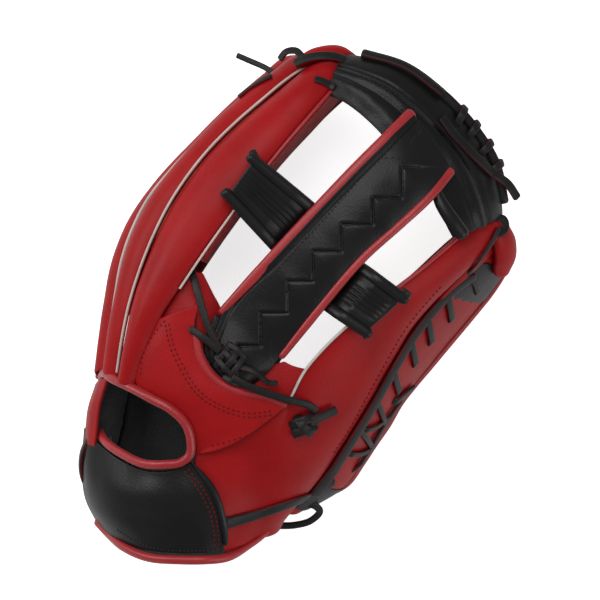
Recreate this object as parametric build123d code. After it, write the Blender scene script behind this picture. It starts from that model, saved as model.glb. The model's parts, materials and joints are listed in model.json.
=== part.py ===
from build123d import *
import os

import numpy as np

# A fielder's glove for the left hand, lying mouth down with the back of the hand up.
# X runs from the little finger's side to the thumb's side, Y from the heel to the
# fingertips, and Z up, away from the pocket's mouth. All sizes are millimetres.

# Overall size: the shape below is drawn at DRAWN and stretched to these three.
GLOVE_WIDTH = 258.0
GLOVE_LENGTH = 312.0
GLOVE_HEIGHT = 116.0
DRAWN = (258.0, 312.0, 116.0)

# Thicknesses
SHELL_LEATHER = 2.4
PALM_LEATHER = 3.0
STALL_WALL = 2.0
PALM_FELT = 5.0
LINER = 1.6
STRAP_LEATHER = 3.0
FLEECE = 4.0
WEB_LEATHER = 3.0
WEAVE = 1.8
SLEEVE = 7.0
STIFFENER = 2.0

# Rolled and round pieces
WELT_RADIUS = 1.9
BINDING_RADIUS = 2.7
LACE_RADIUS = 1.9
KNOT_RADIUS = 4.6

# Fits
CLEARANCE = 0.5
STALL_DEPTH = 24.0
TIP_WRAP = 4.0
STALL_BULGE = 6.0
WRAP_SHARE = 0.78
WELT_INSET = WELT_RADIUS + 2.5 * CLEARANCE
LAYER_GAP = 0.8
WELT_PROUD = 0.3
WELT_SUNK = 0.2
BINDING_INSET = BINDING_RADIUS + CLEARANCE

# Stations along the drawn lines
FINGER_STATIONS = 12
THUMB_STATIONS = 15

SCALE = np.array((GLOVE_WIDTH, GLOVE_LENGTH, GLOVE_HEIGHT)) / np.array(DRAWN)


# ---------------------------------------------------------------- drawing helpers
def at(*points):
    """Points drawn at the drawn size, stretched to the driving sizes."""
    return np.array(points, float) * SCALE


def unit(vectors):
    """Each vector at length one."""
    return vectors / np.linalg.norm(vectors, axis=-1, keepdims=True)


def evened(line, count):
    """A line or a grid of points with its stations evenly spaced along its length."""
    steps = np.linalg.norm(np.diff(line, axis=0), axis=-1)
    steps = steps.reshape(len(steps), -1).mean(axis=1)
    stations = np.concatenate([[0.0], np.cumsum(steps)])
    slopes = np.gradient(line, stations, axis=0)
    wanted = np.linspace(0, stations[-1], count)
    start = np.clip(np.searchsorted(stations, wanted, side="right") - 1, 0, len(steps) - 1)
    shape = (-1,) + (1,) * (line.ndim - 1)
    span = steps[start].reshape(shape)
    share = ((wanted - stations[start]) / steps[start]).reshape(shape)
    rest = 1 - share
    return (
        line[start] * rest * rest * (1 + 2 * share)
        + slopes[start] * span * share * rest * rest
        + line[start + 1] * share * share * (1 + 2 * rest)
        - slopes[start + 1] * span * rest * share * share
    )


def evened_both_ways(grid, rows, columns):
    """A grid with its stations evenly spaced along its rows and across its columns."""
    across = evened(np.swapaxes(grid, 0, 1), columns)
    return evened(np.swapaxes(across, 0, 1), rows)


def outward(grid):
    """The way out of a grid of points, whose rows run up and whose columns run left."""
    along = np.gradient(grid, axis=0)
    across = np.gradient(grid, axis=1)
    return unit(np.cross(along, across))


def raised(grid, height):
    """The grid moved outward by a height, or inward by a negative one."""
    return grid + outward(grid) * height


def between(right, left, bulge=0.0, inset_right=0.0, inset_left=0.0, columns=7):
    """A grid from a right edge to a left edge, crowned by bulge at its middle."""
    across = unit(left - right)
    start = right + across * inset_right
    end = left - across * inset_left
    share = np.linspace(0, 1, columns)[None, :, None]
    flat = start[:, None, :] * (1 - share) + end[:, None, :] * share
    return flat + outward(flat) * bulge * 4 * share * (1 - share)


def surface(grid):
    """A smooth face through a grid of points."""
    rows = [[Vector(*point) for point in row] for row in grid]
    return Face.make_surface_from_array_of_points(rows, tol=0.02)


def solid_between(outer, inner):
    """A closed solid between two grids of points of the same shape."""
    top = surface(outer)
    low = surface(inner)
    low_edges = list(low.edges())
    sides = []
    for edge in top.edges():
        middle = edge.center()
        below = min(low_edges, key=lambda other: (other.center() - middle).length)
        sides.append(Face.make_surface_from_curves(edge, below))
    return Solid(Shell([top, low, *sides]))


def leather(grid, thickness):
    """A piece of leather whose outer face is the grid."""
    return solid_between(grid, raised(grid, -thickness))


def tube(points, radius, bend=0.45):
    """A round roll or lace along straight runs joined by arcs."""
    points = np.asarray(points, float)
    runs = np.linalg.norm(np.diff(points, axis=0), axis=1)
    ways = np.diff(points, axis=0) / runs[:, None]
    turns = np.arccos(np.clip((ways[:-1] * ways[1:]).sum(axis=1), -1, 1))
    radii = []
    for index, turn in enumerate(turns):
        shorter = min(runs[index], runs[index + 1])
        radii.append(float(bend * shorter / np.tan(turn / 2)))
    corners = [Vector(*point) for point in points]
    if len(corners) > 2:
        path = FilletPolyline(*corners, radius=radii)
    else:
        path = Polyline(*corners)
    start = Plane(origin=path @ 0, z_dir=path % 0)
    return sweep(start * Circle(radius), path=path)


def knot(centre, radius=KNOT_RADIUS):
    """A tied knot in a lace, as the ball it fills."""
    return Location(Vector(*centre)) * Sphere(radius)


# ---------------------------------------------------------------- the seams
# The seams of the finger stalls on the back, each from the knuckles to the tip.
INDEX_WEB_SEAM = evened(at(
    (-97, -48, 89), (-84, -14, 98), (-64, 18, 103), (-40, 52, 105),
    (-16, 84, 104), (6, 110, 99), (19, 125, 92), (27, 134, 83),
), FINGER_STATIONS)
INDEX_MIDDLE_SEAM = evened(at(
    (-109, -43, 80), (-103, -8, 86), (-93, 24, 88), (-76, 60, 89),
    (-52, 92, 88), (-24, 118, 84), (-3, 135, 77), (8, 142, 68),
), FINGER_STATIONS)
MIDDLE_RING_SEAM = evened(at(
    (-115, -38, 60), (-110, -3, 62), (-105, 25, 62), (-91, 58, 61),
    (-66, 88, 60), (-37, 117, 57), (-13, 136, 51), (-1, 143, 44),
), FINGER_STATIONS)
RING_PINKY_SEAM = evened(at(
    (-120, -43, 39), (-115, -4, 37), (-109, 24, 34), (-91, 56, 32),
    (-64, 86, 30), (-36, 115, 28), (-15, 134, 25), (-5, 141, 21),
), FINGER_STATIONS)
PINKY_EDGE_SEAM = evened(at(
    (-115, -46, 18), (-110, -8, 12), (-103, 18, 7), (-87, 50, 4.5),
    (-60, 80, 4), (-34, 106, 4), (-18, 121, 5), (-10, 128, 6),
), FINGER_STATIONS)
FINGER_SEAMS = np.array([
    INDEX_WEB_SEAM, INDEX_MIDDLE_SEAM, MIDDLE_RING_SEAM, RING_PINKY_SEAM, PINKY_EDGE_SEAM,
])
FINGERS = ("index", "middle", "ring", "pinky")

# The thumb's three seams, each from the heel to the tip: the web's side, the laced
# outer edge, and the lip that rests on the table.
THUMB_WEB_SEAM = evened(at(
    (-26, -141, 60), (-20, -118, 75), (-14, -92, 87), (-7, -62, 96), (3, -42, 100),
    (22, -21, 102), (42, -4, 102), (64, 12, 100), (86, 30, 92), (104, 45, 82), (112, 50, 75),
), THUMB_STATIONS)
THUMB_LACED_SEAM = evened(at(
    (-9, -130, 34), (10, -112, 46), (23, -94, 56), (34, -76, 63), (45, -58, 67),
    (57, -37, 69), (71, -14, 69), (87, 4, 68), (104, 20, 64), (117, 33, 58), (122, 39, 54),
), THUMB_STATIONS)
THUMB_LIP_SEAM = evened(at(
    (2, -123, 7), (28, -112, 6), (42, -92, 6), (52, -78, 5), (62, -61, 5),
    (76, -44, 5), (91, -26, 5), (106, -8, 6), (119, 9, 10), (126, 22, 16), (128, 28, 20),
), THUMB_STATIONS)
WEB_START = 5
WALL_ROWS = 31

# The main crease of the glove: from the heel to the middle of the web.
HINGE_HEEL = at((-28, -148, 24))[0]
HINGE_WEB = at((22, 58, 84))[0]
HINGE_WAY = unit(HINGE_WEB - HINGE_HEEL)


# ---------------------------------------------------------------- fingers
def finger_depths():
    """The way into each stall at every seam and station, and each seam's own way along."""
    panels = []
    for right, left in zip(FINGER_SEAMS[:-1], FINGER_SEAMS[1:]):
        flat = between(right, left, columns=2)
        panels.append(-outward(flat)[:, 0])
    panels = np.array(panels)
    inner = unit(panels[:-1] + panels[1:])
    web_side = unit(panels[0] + np.array((0.0, 0.0, -1.4)))
    pinky_side = unit(panels[-1] + np.array((0.0, 0.0, 0.12)))
    ways_in = np.concatenate([web_side[None], inner, pinky_side[None]])
    ways_along = unit(np.gradient(FINGER_SEAMS, axis=1))
    return ways_in, ways_along


WAYS_IN, WAYS_ALONG = finger_depths()


def with_wrapped_tips():
    """The finger seams with two stations more, which close each stall over its tip."""
    tip = FINGER_SEAMS[:, -1]
    ahead = WAYS_ALONG[:, -1] * TIP_WRAP
    into = WAYS_IN[:, -1] * STALL_DEPTH
    first = tip + ahead + into * 0.35
    last = tip + ahead * 1.1 + into * WRAP_SHARE
    return np.concatenate([FINGER_SEAMS, first[:, None], last[:, None]], axis=1)


def finger_back_shells():
    """The four back leathers, open below, crowned, and closed over their tips."""
    seams = with_wrapped_tips()
    shells = {}
    for finger, right, left in zip(FINGERS, seams[:-1], seams[1:]):
        grid = between(right, left, STALL_BULGE, WELT_INSET, WELT_INSET)
        shells[finger + "_back_shell"] = leather(grid, SHELL_LEATHER)
    return shells


def stall_walls():
    """The upright walls that part the stalls, and the two that close the outer ones."""
    names = (
        "index_side_wall", "index_middle_wall", "middle_ring_wall", "ring_pinky_wall",
        "pinky_side_wall",
    )
    walls = {}
    for name, seam, into, along in zip(names, FINGER_SEAMS, WAYS_IN, WAYS_ALONG):
        first = 2 if name == "pinky_side_wall" else 4
        deepest = STALL_DEPTH - LAYER_GAP / 2
        depths = np.linspace(WELT_INSET - WELT_SUNK, deepest, 4)[None, :, None]
        middle = seam[first:, None] + into[first:, None] * depths
        aside = unit(np.cross(into, along))[first:, None] * STALL_WALL / 2
        walls[name] = solid_between(middle + aside, middle - aside)
    return walls


def finger_welts():
    """The rolled pipings in the grooves between the stalls, and round their outer edges."""
    names = (
        "index_web_welt", "index_middle_welt", "middle_ring_welt", "ring_pinky_welt",
        "pinky_edge_welt",
    )
    welts = {}
    for name, seam, into in zip(names, FINGER_SEAMS, WAYS_IN):
        first = 3 if name == "index_web_welt" else 0
        line = seam[first:] - into[first:] * WELT_PROUD
        welts[name] = tube(line, WELT_RADIUS)
    return welts


# ---------------------------------------------------------------- palm
# The palm leather from the heel to the knuckles, right to left, above the finger part.
HEEL_ROWS = [
    at((-38, -148, 10), (-55, -150, 8), (-73, -150, 6), (-90, -149, 5), (-105, -144, 6),
       (-113, -134, 9)),
    at((-27, -112, 28), (-49, -112, 26), (-74, -112, 20), (-98, -112, 12), (-112, -109, 8),
       (-121, -106, 9)),
    at((-16, -74, 47), (-40, -74, 46), (-68, -74, 37), (-92, -75, 22), (-108, -76, 12),
       (-120, -76, 9)),
    at((-42, -33, 70), (-62, -36, 64), (-78, -39, 52), (-90, -41, 36), (-99, -43, 20),
       (-105, -45, 11)),
]
HEEL_STATIONS = 8
PALM_ROWS = 39
PALM_COLUMNS = 19
FELT_ROWS = 16


def palm_grid():
    """The outer face of the finger half's palm leather, heel to fingertips."""
    fronts = FINGER_SEAMS + WAYS_IN * (STALL_DEPTH + LAYER_GAP)
    rows = []
    for station in range(2, fronts.shape[1]):
        front = fronts[:, station]
        rows.append(np.array([front[0], (front[0] + front[1]) / 2, *front[1:]]))
    beyond = rows[-1] + unit(rows[-1] - rows[-2]) * 2 * TIP_WRAP
    heel = evened(np.array([*HEEL_ROWS, rows[0]]), HEEL_STATIONS + 1)
    whole = np.array([*heel[:-1], *rows, beyond])
    return evened_both_ways(whole, PALM_ROWS, PALM_COLUMNS)


def palm_pieces():
    """Palm leather, felt and the liner that the hand lies on, for the finger half."""
    grid = palm_grid()
    felt_low = raised(grid, LAYER_GAP)
    felt_top = raised(grid, LAYER_GAP + PALM_FELT)
    liner_low = raised(grid, 2 * LAYER_GAP + PALM_FELT)
    liner_top = raised(grid, 2 * LAYER_GAP + PALM_FELT + LINER)
    hand = slice(0, FELT_ROWS)
    return {
        "palm_shell_fingers": leather(grid, PALM_LEATHER),
        "palm_felt": solid_between(felt_top[hand, :-1], felt_low[hand, :-1]),
        "hand_liner": solid_between(liner_top[hand, :-4], liner_low[hand, :-4]),
    }


# ---------------------------------------------------------------- back of the hand
CROTCH_RIM = evened(at(
    (-9, -63, 97), (-22, -57, 99), (-36, -54, 101), (-50, -47, 102), (-59, -34, 103),
    (-62, -18, 104), (-60, -3, 105),
), 10)
BACK_LEFT = evened(at(
    (-61, -91, 89), (-61, -80, 93), (-65, -69, 96), (-75, -60, 96), (-87, -53, 93),
    (-90, -36, 95), (-80, -10, 101),
), 10)
STRAP_END = at((-44, -151, 74), (-45, -133.5, 82.3), (-51, -113, 87.3), (-64, -96, 88.3))


def back_pieces():
    """The leather over the back of the hand, the heel's back, and the crotch's rim."""
    back = between(CROTCH_RIM, BACK_LEFT, 3.0, BINDING_INSET + 1.5, 1.0)
    crease = at((-31, -140, 60), (-25, -118, 75), (-19, -94, 86), (-16, -73, 93))
    heel = between(crease, STRAP_END, 2.0)
    return {
        "back_hand_shell": leather(back, SHELL_LEATHER),
        "heel_back_shell": leather(heel, SHELL_LEATHER),
        "crotch_binding": tube(CROTCH_RIM[1:], BINDING_RADIUS),
    }


# The strap over the wrist: rows from the wrist's edge up to the window in the back.
STRAP_ROWS = np.array([
    at((-45, -151, 74), (-58, -152, 78), (-73, -152, 76), (-89, -151, 68), (-103, -146, 54),
       (-113, -138, 37), (-115, -129, 21)),
    at((-46, -134, 82), (-63, -135, 84), (-80, -135, 80), (-97, -133, 71), (-112, -129, 56),
       (-120, -123, 38), (-121, -116, 20)),
    at((-52, -114, 87), (-69, -117, 87), (-87, -118, 82), (-103, -116, 72), (-117, -111, 56),
       (-124, -104, 38), (-123, -96, 19)),
    at((-65, -97, 88), (-79, -102, 85), (-92, -102, 78), (-105, -97, 66), (-116, -89, 51),
       (-122, -79, 35), (-120, -71, 19)),
])
WINDOW_UPPER = evened(at(
    (-63, -92, 88), (-65, -84, 92), (-68, -74, 95), (-77, -65, 96), (-88, -59, 94),
    (-99.3, -53, 88.3), (-111.5, -47.4, 78.2), (-117.3, -43.8, 60), (-119, -49, 38),
    (-114, -54, 20),
), 16)
WINDOW_LOWER = evened(at(
    (-66.3, -94.1, 89.3), (-79, -98, 87), (-92, -98, 80), (-105, -93, 68), (-117, -85, 53),
    (-122.2, -75, 36), (-118.8, -67, 21),
), 12)
WRIST_EDGE = evened(at(
    (-32, -148, 60), (-45, -154.4, 73), (-58, -155.4, 78), (-73, -155.4, 76),
    (-90, -154.4, 68), (-106, -148.5, 54), (-116, -140.5, 38),
), 13)
HEEL_EDGE = evened(at(
    (-38, -152.4, 8), (-55, -154.4, 6), (-73, -154.4, 5), (-91, -153.4, 4.5),
    (-108, -147.5, 5), (-118, -136.5, 7),
), 9)
PINKY_HEEL = np.array([
    at((-123, -133, 31), (-123, -132, 20), (-118.5, -131, 9)),
    at((-129, -112, 34), (-129, -110, 21), (-124, -108, 9)),
    at((-130, -88, 36), (-130, -86, 22), (-123.8, -84, 9)),
    at((-127.5, -66, 37), (-127.5, -65, 22), (-122.5, -65, 10)),
    at((-123.5, -56, 35), (-123, -55, 22), (-117, -54, 11)),
])


def wrist_pieces():
    """The wrist strap with its fleece, the heel's side, and the rolled rims."""
    strap_inner = -STRAP_LEATHER - LAYER_GAP
    strap = evened_both_ways(STRAP_ROWS, 7, 11)
    fleece_top = raised(strap, strap_inner)
    fleece_low = raised(strap, strap_inner - FLEECE)
    return {
        "wrist_strap": leather(strap, STRAP_LEATHER),
        "strap_fleece": solid_between(fleece_top, fleece_low),
        "pinky_heel_shell": leather(PINKY_HEEL, SHELL_LEATHER),
        "window_upper_binding": tube(WINDOW_UPPER, BINDING_RADIUS),
        "window_lower_binding": tube(WINDOW_LOWER, BINDING_RADIUS),
        "wrist_binding": tube(WRIST_EDGE, BINDING_RADIUS),
        "heel_binding": tube(HEEL_EDGE, BINDING_RADIUS),
    }


# ---------------------------------------------------------------- thumb
THUMB_PALM_CREST = evened(at(
    (-19, -139, 15), (-13, -112, 29), (-8, -87, 42), (-2, -60, 56), (4, -43, 68),
    (21, -23, 74), (41, -7, 75), (62, 9, 73), (83, 28, 67), (100, 42, 58), (107, 46, 52),
), THUMB_STATIONS)
THUMB_PALM_LIP = evened(at(
    (-9, -128, 9), (17, -106, 8), (30, -86, 7), (40, -71, 7), (50, -54, 7),
    (64, -37, 7), (79, -19, 7), (94, -1, 8), (108, 14, 12), (115, 25, 18), (118, 30, 22),
), THUMB_STATIONS)


def drawn_over_tip(seam):
    """A thumb seam with one station more, drawn in over the tip."""
    ahead = unit(seam[-1] - seam[-2]) * TIP_WRAP
    middle = (THUMB_PALM_CREST[-1] + THUMB_PALM_LIP[-1]) / 2
    wrapped = seam[-1] + ahead + (middle - seam[-1]) * 0.2
    return np.concatenate([seam, wrapped[None]])


def arched(count, height):
    """A height for each station, none at both ends and the whole at the middle."""
    return height * np.sin(np.pi * np.linspace(0, 1, count))[:, None, None]


def thumb_grids():
    """The outer faces of the thumb's back, its outer wall and its palm leather."""
    web_side = drawn_over_tip(THUMB_WEB_SEAM)
    laced = drawn_over_tip(THUMB_LACED_SEAM)
    lip = drawn_over_tip(THUMB_LIP_SEAM)
    back = between(laced, web_side, STALL_BULGE, BINDING_INSET + 0.6, WELT_INSET + 0.5)
    wall = between(lip, laced, 4.0, BINDING_INSET + 1.6, BINDING_INSET + 0.6)
    palm = between(THUMB_PALM_LIP, THUMB_PALM_CREST, arched(THUMB_STATIONS, 6.0))
    return back, wall, palm


def thumb_pieces():
    """The thumb's shells, its linings and pads, and the rolled trim on its seams."""
    back, wall, palm = thumb_grids()
    wall = evened_both_ways(wall, WALL_ROWS, 11)
    stall = slice(8, 24)
    stiffener = raised(wall, -SHELL_LEATHER - LAYER_GAP)[stall, 1:-1]
    felt_low = raised(palm, LAYER_GAP)[1:6, 2:]
    felt_top = raised(palm, LAYER_GAP + PALM_FELT)[1:6, 2:]
    seam = THUMB_WEB_SEAM[WEB_START:]
    crest = THUMB_PALM_CREST[WEB_START:]
    upright = unit(crest - seam)
    top = seam + upright * (WELT_INSET + SHELL_LEATHER)
    foot = crest - upright * CLEARANCE
    along = unit(np.gradient(seam, axis=0))
    aside = unit(np.cross(upright, along))[:, None] * STALL_WALL / 2
    share = np.linspace(0, 1, 4)[None, :, None]
    web_wall = top[:, None] * (1 - share) + foot[:, None] * share
    return {
        "thumb_back_shell": leather(back, SHELL_LEATHER),
        "thumb_outer_wall": leather(wall, SHELL_LEATHER),
        "palm_shell_thumb": leather(palm, PALM_LEATHER),
        "thumb_web_wall": solid_between(web_wall + aside, web_wall - aside),
        "thumb_stiffener": leather(stiffener, STIFFENER),
        "thumb_heel_felt": solid_between(felt_top, felt_low),
        "thumb_web_welt": tube(seam, WELT_RADIUS),
        "thumb_edge_band": tube(THUMB_LACED_SEAM, BINDING_RADIUS),
        "thumb_lip_binding": tube(THUMB_LIP_SEAM, BINDING_RADIUS),
    }


# ---------------------------------------------------------------- web
POST_RIGHT = evened(at(
    (-9, -35, 98), (15, -5, 106), (41, 25, 110), (60, 42, 110), (79, 60, 106), (91, 75, 98),
), 8)
POST_LEFT = evened(at(
    (-49, -6, 99), (-17, 28, 107), (11, 58, 111), (31, 79, 111), (50, 98, 107), (65, 113, 99),
), 8)
ARCH_RIM = evened(at(
    (121, 58, 71), (116, 80, 75), (102, 103, 78), (84, 122, 81), (62, 138, 81), (37, 146, 77),
), 8)
ARCH_INNER = evened(at(
    (89, 41, 102), (80, 60, 101), (66, 79, 100), (51, 96, 100), (39, 108, 98), (24, 119, 94),
), 8)
BASE_RIGHT = at((-25, -50, 96), (-16, -43, 96.5), (-10.5, -34.9, 97.1))
BASE_LEFT = at((-47, -45, 99), (-56.5, -31.5, 101), (-50.5, -7.5, 98.5))
INDEX_BAR_RIGHT = at((-17.1, 30, 110), (-7.1, 40, 112), (2.9, 50, 114), (8.9, 57, 115))
INDEX_BAR_LEFT = at((-44, 60, 115.5), (-38, 68, 117.5), (-31, 78, 118.5), (-26, 85, 118.5))
THUMB_BAR_RIGHT = at((37, -21, 111.5), (46, -13, 112.3), (55, -5, 112.3), (63, 3, 112))
THUMB_BAR_LEFT = at((19, -9, 112), (27, 0, 113), (35, 9, 114), (43, 18, 115))


def web_pieces():
    """The post with its woven cover, the two laced bars, the top arch and the base."""
    edge = 2 * BINDING_RADIUS + LAYER_GAP
    post = between(POST_RIGHT, POST_LEFT, 3.0, edge, edge)
    cover = raised(post, CLEARANCE + WEAVE)
    arch = between(ARCH_RIM, ARCH_INNER, 4.0)
    base = between(BASE_RIGHT, BASE_LEFT, 1.0)
    index_bar = between(INDEX_BAR_RIGHT, INDEX_BAR_LEFT)
    thumb_bar = between(THUMB_BAR_RIGHT, THUMB_BAR_LEFT)
    across = unit(POST_LEFT - POST_RIGHT) * BINDING_RADIUS * 0.9
    rim_out = unit(ARCH_RIM - ARCH_INNER) * (BINDING_INSET + 0.3)
    return {
        "web_post": leather(post, WEB_LEATHER),
        "web_woven_cover": leather(cover, WEAVE),
        "web_post_binding_thumb_side": tube(POST_RIGHT + across, BINDING_RADIUS),
        "web_post_binding_index_side": tube(POST_LEFT - across, BINDING_RADIUS),
        "web_top_arch": leather(arch, WEB_LEATHER),
        "web_rim_binding": tube(ARCH_RIM + rim_out, BINDING_RADIUS),
        "web_base": leather(base, WEB_LEATHER),
        "web_index_bar": leather(index_bar, SLEEVE),
        "web_thumb_bar": leather(thumb_bar, SLEEVE),
    }


# ---------------------------------------------------------------- laces
def thumb_loops():
    """The short lace loops that cross the outer wall beside the laced edge."""
    wall = raised(thumb_grids()[1], LACE_RADIUS + LAYER_GAP)
    loops = []
    for station in (5, 6, 7, 8, 9):
        top, middle, foot = wall[station, 6], wall[station, 5], wall[station, 4]
        way = unit(wall[station + 1, 5] - wall[station, 5]) * LACE_RADIUS
        loops.append(tube([top - way, middle, foot - way], LACE_RADIUS))
    return Compound(children=loops)


def tip_lace_line():
    """The lace in the slot between the wrapped tips and the palm leather."""
    tip = FINGER_SEAMS[:, -1] + WAYS_ALONG[:, -1] * TIP_WRAP
    slot = (WRAP_SHARE + 1) / 2 * STALL_DEPTH + CLEARANCE / 2
    return evened(tip + WAYS_IN[:, -1] * slot, 8)


def lace_pieces():
    """The laces as they lie, each tied where it ends in a knot."""
    crotch_knot = at((-38, -36, 105.1))[0]
    back = thumb_grids()[0]
    thumb_knot = at((4.3, -74.7, 93.8))[0]
    crotch_tails = [
        at((-34.5, -39.5, 105.5), (-25, -46, 106.5), (-12, -51, 105.5)),
        at((-41, -32, 104.5), (-46, -22, 103.3), (-49, -11, 102.7)),
    ]
    thumb_tails = [
        at((8.2, -72.2, 91.8), (14.5, -69.5, 89.3), (21, -66.5, 87)),
        at((-36, -48.5, 106), (-20, -55, 104.6), (-7, -59.5, 101.5), (6, -63, 95.5)),
    ]
    over_back = raised(back, LACE_RADIUS + LAYER_GAP)[1, 1::2]
    over_heel = at((-33, -127, 82.9), (-43, -131, 85.4))
    heel_lines = [
        np.concatenate([over_back, over_heel]),
        at((-5, -133, 19.5), (6, -132, 24), (14, -127, 30)),
    ]
    tip_tail = at((-18, 140.5, 40), (-27, 146, 41), (-38, 149, 42))
    return {
        "fingertip_lace": Compound(children=[
            tube(tip_lace_line(), LACE_RADIUS), tube(tip_tail, LACE_RADIUS),
        ]),
        "crotch_lace": Compound(children=[
            knot(crotch_knot), *[tube(tail, LACE_RADIUS) for tail in crotch_tails],
        ]),
        "thumb_crotch_lace": Compound(children=[
            knot(thumb_knot), *[tube(tail, LACE_RADIUS) for tail in thumb_tails],
        ]),
        "heel_lace": Compound(children=[tube(line, LACE_RADIUS) for line in heel_lines]),
        "wrist_lace": tube(at((-130, -80, 40.5), (-133.7, -92, 34.5), (-133.5, -106, 28.5),
                              (-131, -118, 24.5)), LACE_RADIUS),
        "thumb_edge_loops": thumb_loops(),
        "index_bar_laces": Compound(children=[
            knot(at((-29.4, 88.2, 113.2))[0], 3.6), knot(at((-47, 63.1, 111.4))[0], 3.6),
        ]),
        "thumb_bar_laces": Compound(children=[
            knot(at((66, 5, 108))[0], 3.4), knot(at((40, -23, 107))[0], 3.4),
        ]),
        "web_rim_lace": tube(at((92, 98, 91.5), (103, 87, 88.6), (112, 77, 84), (122, 67, 77.6)),
                             LACE_RADIUS),
    }


def loop_pieces():
    """The finger loops sewn inside the stalls, for the thumb and the little finger."""
    back, _, palm = thumb_grids()
    thumb = []
    for station in (7, 8):
        top = back[station, 3] - outward(back)[station, 3] * (SHELL_LEATHER + LAYER_GAP)
        foot = palm[station, 4] + outward(palm)[station, 4] * LAYER_GAP
        share = np.linspace(0, 1, 3)[:, None]
        thumb.append(top * (1 - share) + foot * share)
    row = np.array(thumb)
    side = unit(np.cross(row[1, 0] - row[0, 0], row[0, -1] - row[0, 0])) * LINER
    return {"thumb_loop": solid_between(row + side / 2, row - side / 2)}


def build():
    """Every piece of the glove by name, in drawn place."""
    pieces = {}
    pieces.update(finger_back_shells())
    pieces.update(stall_walls())
    pieces.update(finger_welts())
    pieces.update(palm_pieces())
    pieces.update(back_pieces())
    pieces.update(wrist_pieces())
    pieces.update(thumb_pieces())
    pieces.update(web_pieces())
    pieces.update(lace_pieces())
    pieces.update(loop_pieces())
    return pieces


def main():
    pieces = build()
    boxes = [piece.bounding_box() for piece in pieces.values()]
    low = np.min([tuple(box.min) for box in boxes], axis=0)
    high = np.max([tuple(box.max) for box in boxes], axis=0)
    shift = Vector(-(low[0] + high[0]) / 2, -(low[1] + high[1]) / 2, -low[2])
    os.makedirs("parts", exist_ok=True)
    for name, piece in pieces.items():
        export_step(Location(shift) * piece, f"parts/{name}.step")
    print("size", np.round(high - low, 2), "shift", tuple(shift))
    hinge = HINGE_HEEL + np.array(tuple(shift))
    print("hinge through", np.round(hinge / 1000, 5), "along", np.round(HINGE_WAY, 5))


main()
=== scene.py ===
# %% [markdown]
# # A fielder's glove in leather and lace
# The glove lies on its mouth with the back of the hand up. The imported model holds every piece
# at its real place, so each cell takes one group of pieces, rebuilds its surface as soft
# leather, and lets it ride on the body that carries it.

# %% Load the fixed frame
import json

import bpy
import numpy as np
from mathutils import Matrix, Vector, noise
from mathutils.bvhtree import BVHTree


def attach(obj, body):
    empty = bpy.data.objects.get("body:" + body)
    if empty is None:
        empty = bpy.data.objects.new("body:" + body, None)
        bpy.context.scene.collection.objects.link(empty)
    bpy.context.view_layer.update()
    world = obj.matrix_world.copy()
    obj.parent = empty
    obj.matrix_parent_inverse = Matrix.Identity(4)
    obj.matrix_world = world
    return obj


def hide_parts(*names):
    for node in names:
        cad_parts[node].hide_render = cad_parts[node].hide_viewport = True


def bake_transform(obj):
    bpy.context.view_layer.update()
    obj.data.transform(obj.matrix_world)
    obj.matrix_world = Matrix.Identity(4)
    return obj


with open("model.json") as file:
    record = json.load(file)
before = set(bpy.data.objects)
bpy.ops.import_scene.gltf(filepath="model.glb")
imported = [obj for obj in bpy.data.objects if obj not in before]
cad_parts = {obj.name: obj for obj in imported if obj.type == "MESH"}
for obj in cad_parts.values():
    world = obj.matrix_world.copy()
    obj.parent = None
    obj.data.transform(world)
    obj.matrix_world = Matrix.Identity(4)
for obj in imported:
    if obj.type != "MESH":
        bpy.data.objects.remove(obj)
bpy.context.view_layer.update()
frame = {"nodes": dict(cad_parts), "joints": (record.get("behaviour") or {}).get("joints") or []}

MM = 0.001

# %% [markdown]
# ## Drawn points
# The glove's lines are drawn in millimetres round its own middle. The thumb's hinge is drawn
# at a known point, and the frame says where that point ended up, so the difference between
# the two carries every drawn point into the frame.

# %% From drawn millimetres to the frame's metres
HINGE_DRAWN = np.array((-28.0, -148.0, 24.0))
SHIFT = np.array(frame["joints"][0]["pos_m"]) - HINGE_DRAWN * MM


def mm(*numbers):
    """Steps in millimetres, as metres."""
    return np.array(numbers, float) * MM


def at(*points):
    """Drawn points, or rows of them, in millimetres, as metres in the frame."""
    return mm(*points) + SHIFT


def between(first, second, share):
    """A share of the way from the first to the second."""
    return first * (1 - share) + second * share


def unit(vectors):
    """Each vector at length one."""
    return vectors / np.maximum(np.linalg.norm(vectors, axis=-1, keepdims=True), 1e-12)


def evened(line, count):
    """A line or grid of points, smoothed through and spaced evenly along its length."""
    steps = np.linalg.norm(np.diff(line, axis=0), axis=-1)
    steps = np.maximum(steps.reshape(len(steps), -1).mean(axis=1), 1e-9)
    stations = np.concatenate([[0.0], np.cumsum(steps)])
    slopes = np.gradient(line, stations, axis=0)
    wanted = np.linspace(0, stations[-1], count)
    start = np.clip(np.searchsorted(stations, wanted, side="right") - 1, 0, len(steps) - 1)
    shape = (-1,) + (1,) * (line.ndim - 1)
    span = steps[start].reshape(shape)
    share = ((wanted - stations[start]) / steps[start]).reshape(shape)
    rest = 1 - share
    return (
        line[start] * rest * rest * (1 + 2 * share)
        + slopes[start] * span * share * rest * rest
        + line[start + 1] * share * share * (1 + 2 * rest)
        - slopes[start + 1] * span * rest * share * share
    )


def refined(grid, rows, columns):
    """The same surface with more stations both ways."""
    across = evened(np.swapaxes(grid, 0, 1), columns)
    return evened(np.swapaxes(across, 0, 1), rows)


def outward(grid):
    """The way out of a grid whose rows run up and whose columns run from right to left."""
    return unit(np.cross(np.gradient(grid, axis=0), np.gradient(grid, axis=1)))


def raised(grid, height):
    """The grid moved outward by a height, one number or one for each point."""
    return grid + outward(grid) * height


def fold_zone(start, end):
    """Two drawn points in the frame, where a piece would start and stop to follow the thumb."""
    return [tuple(point) for point in at(start, end)]


print("shift in mm", np.round(SHIFT / MM, 2))

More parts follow.
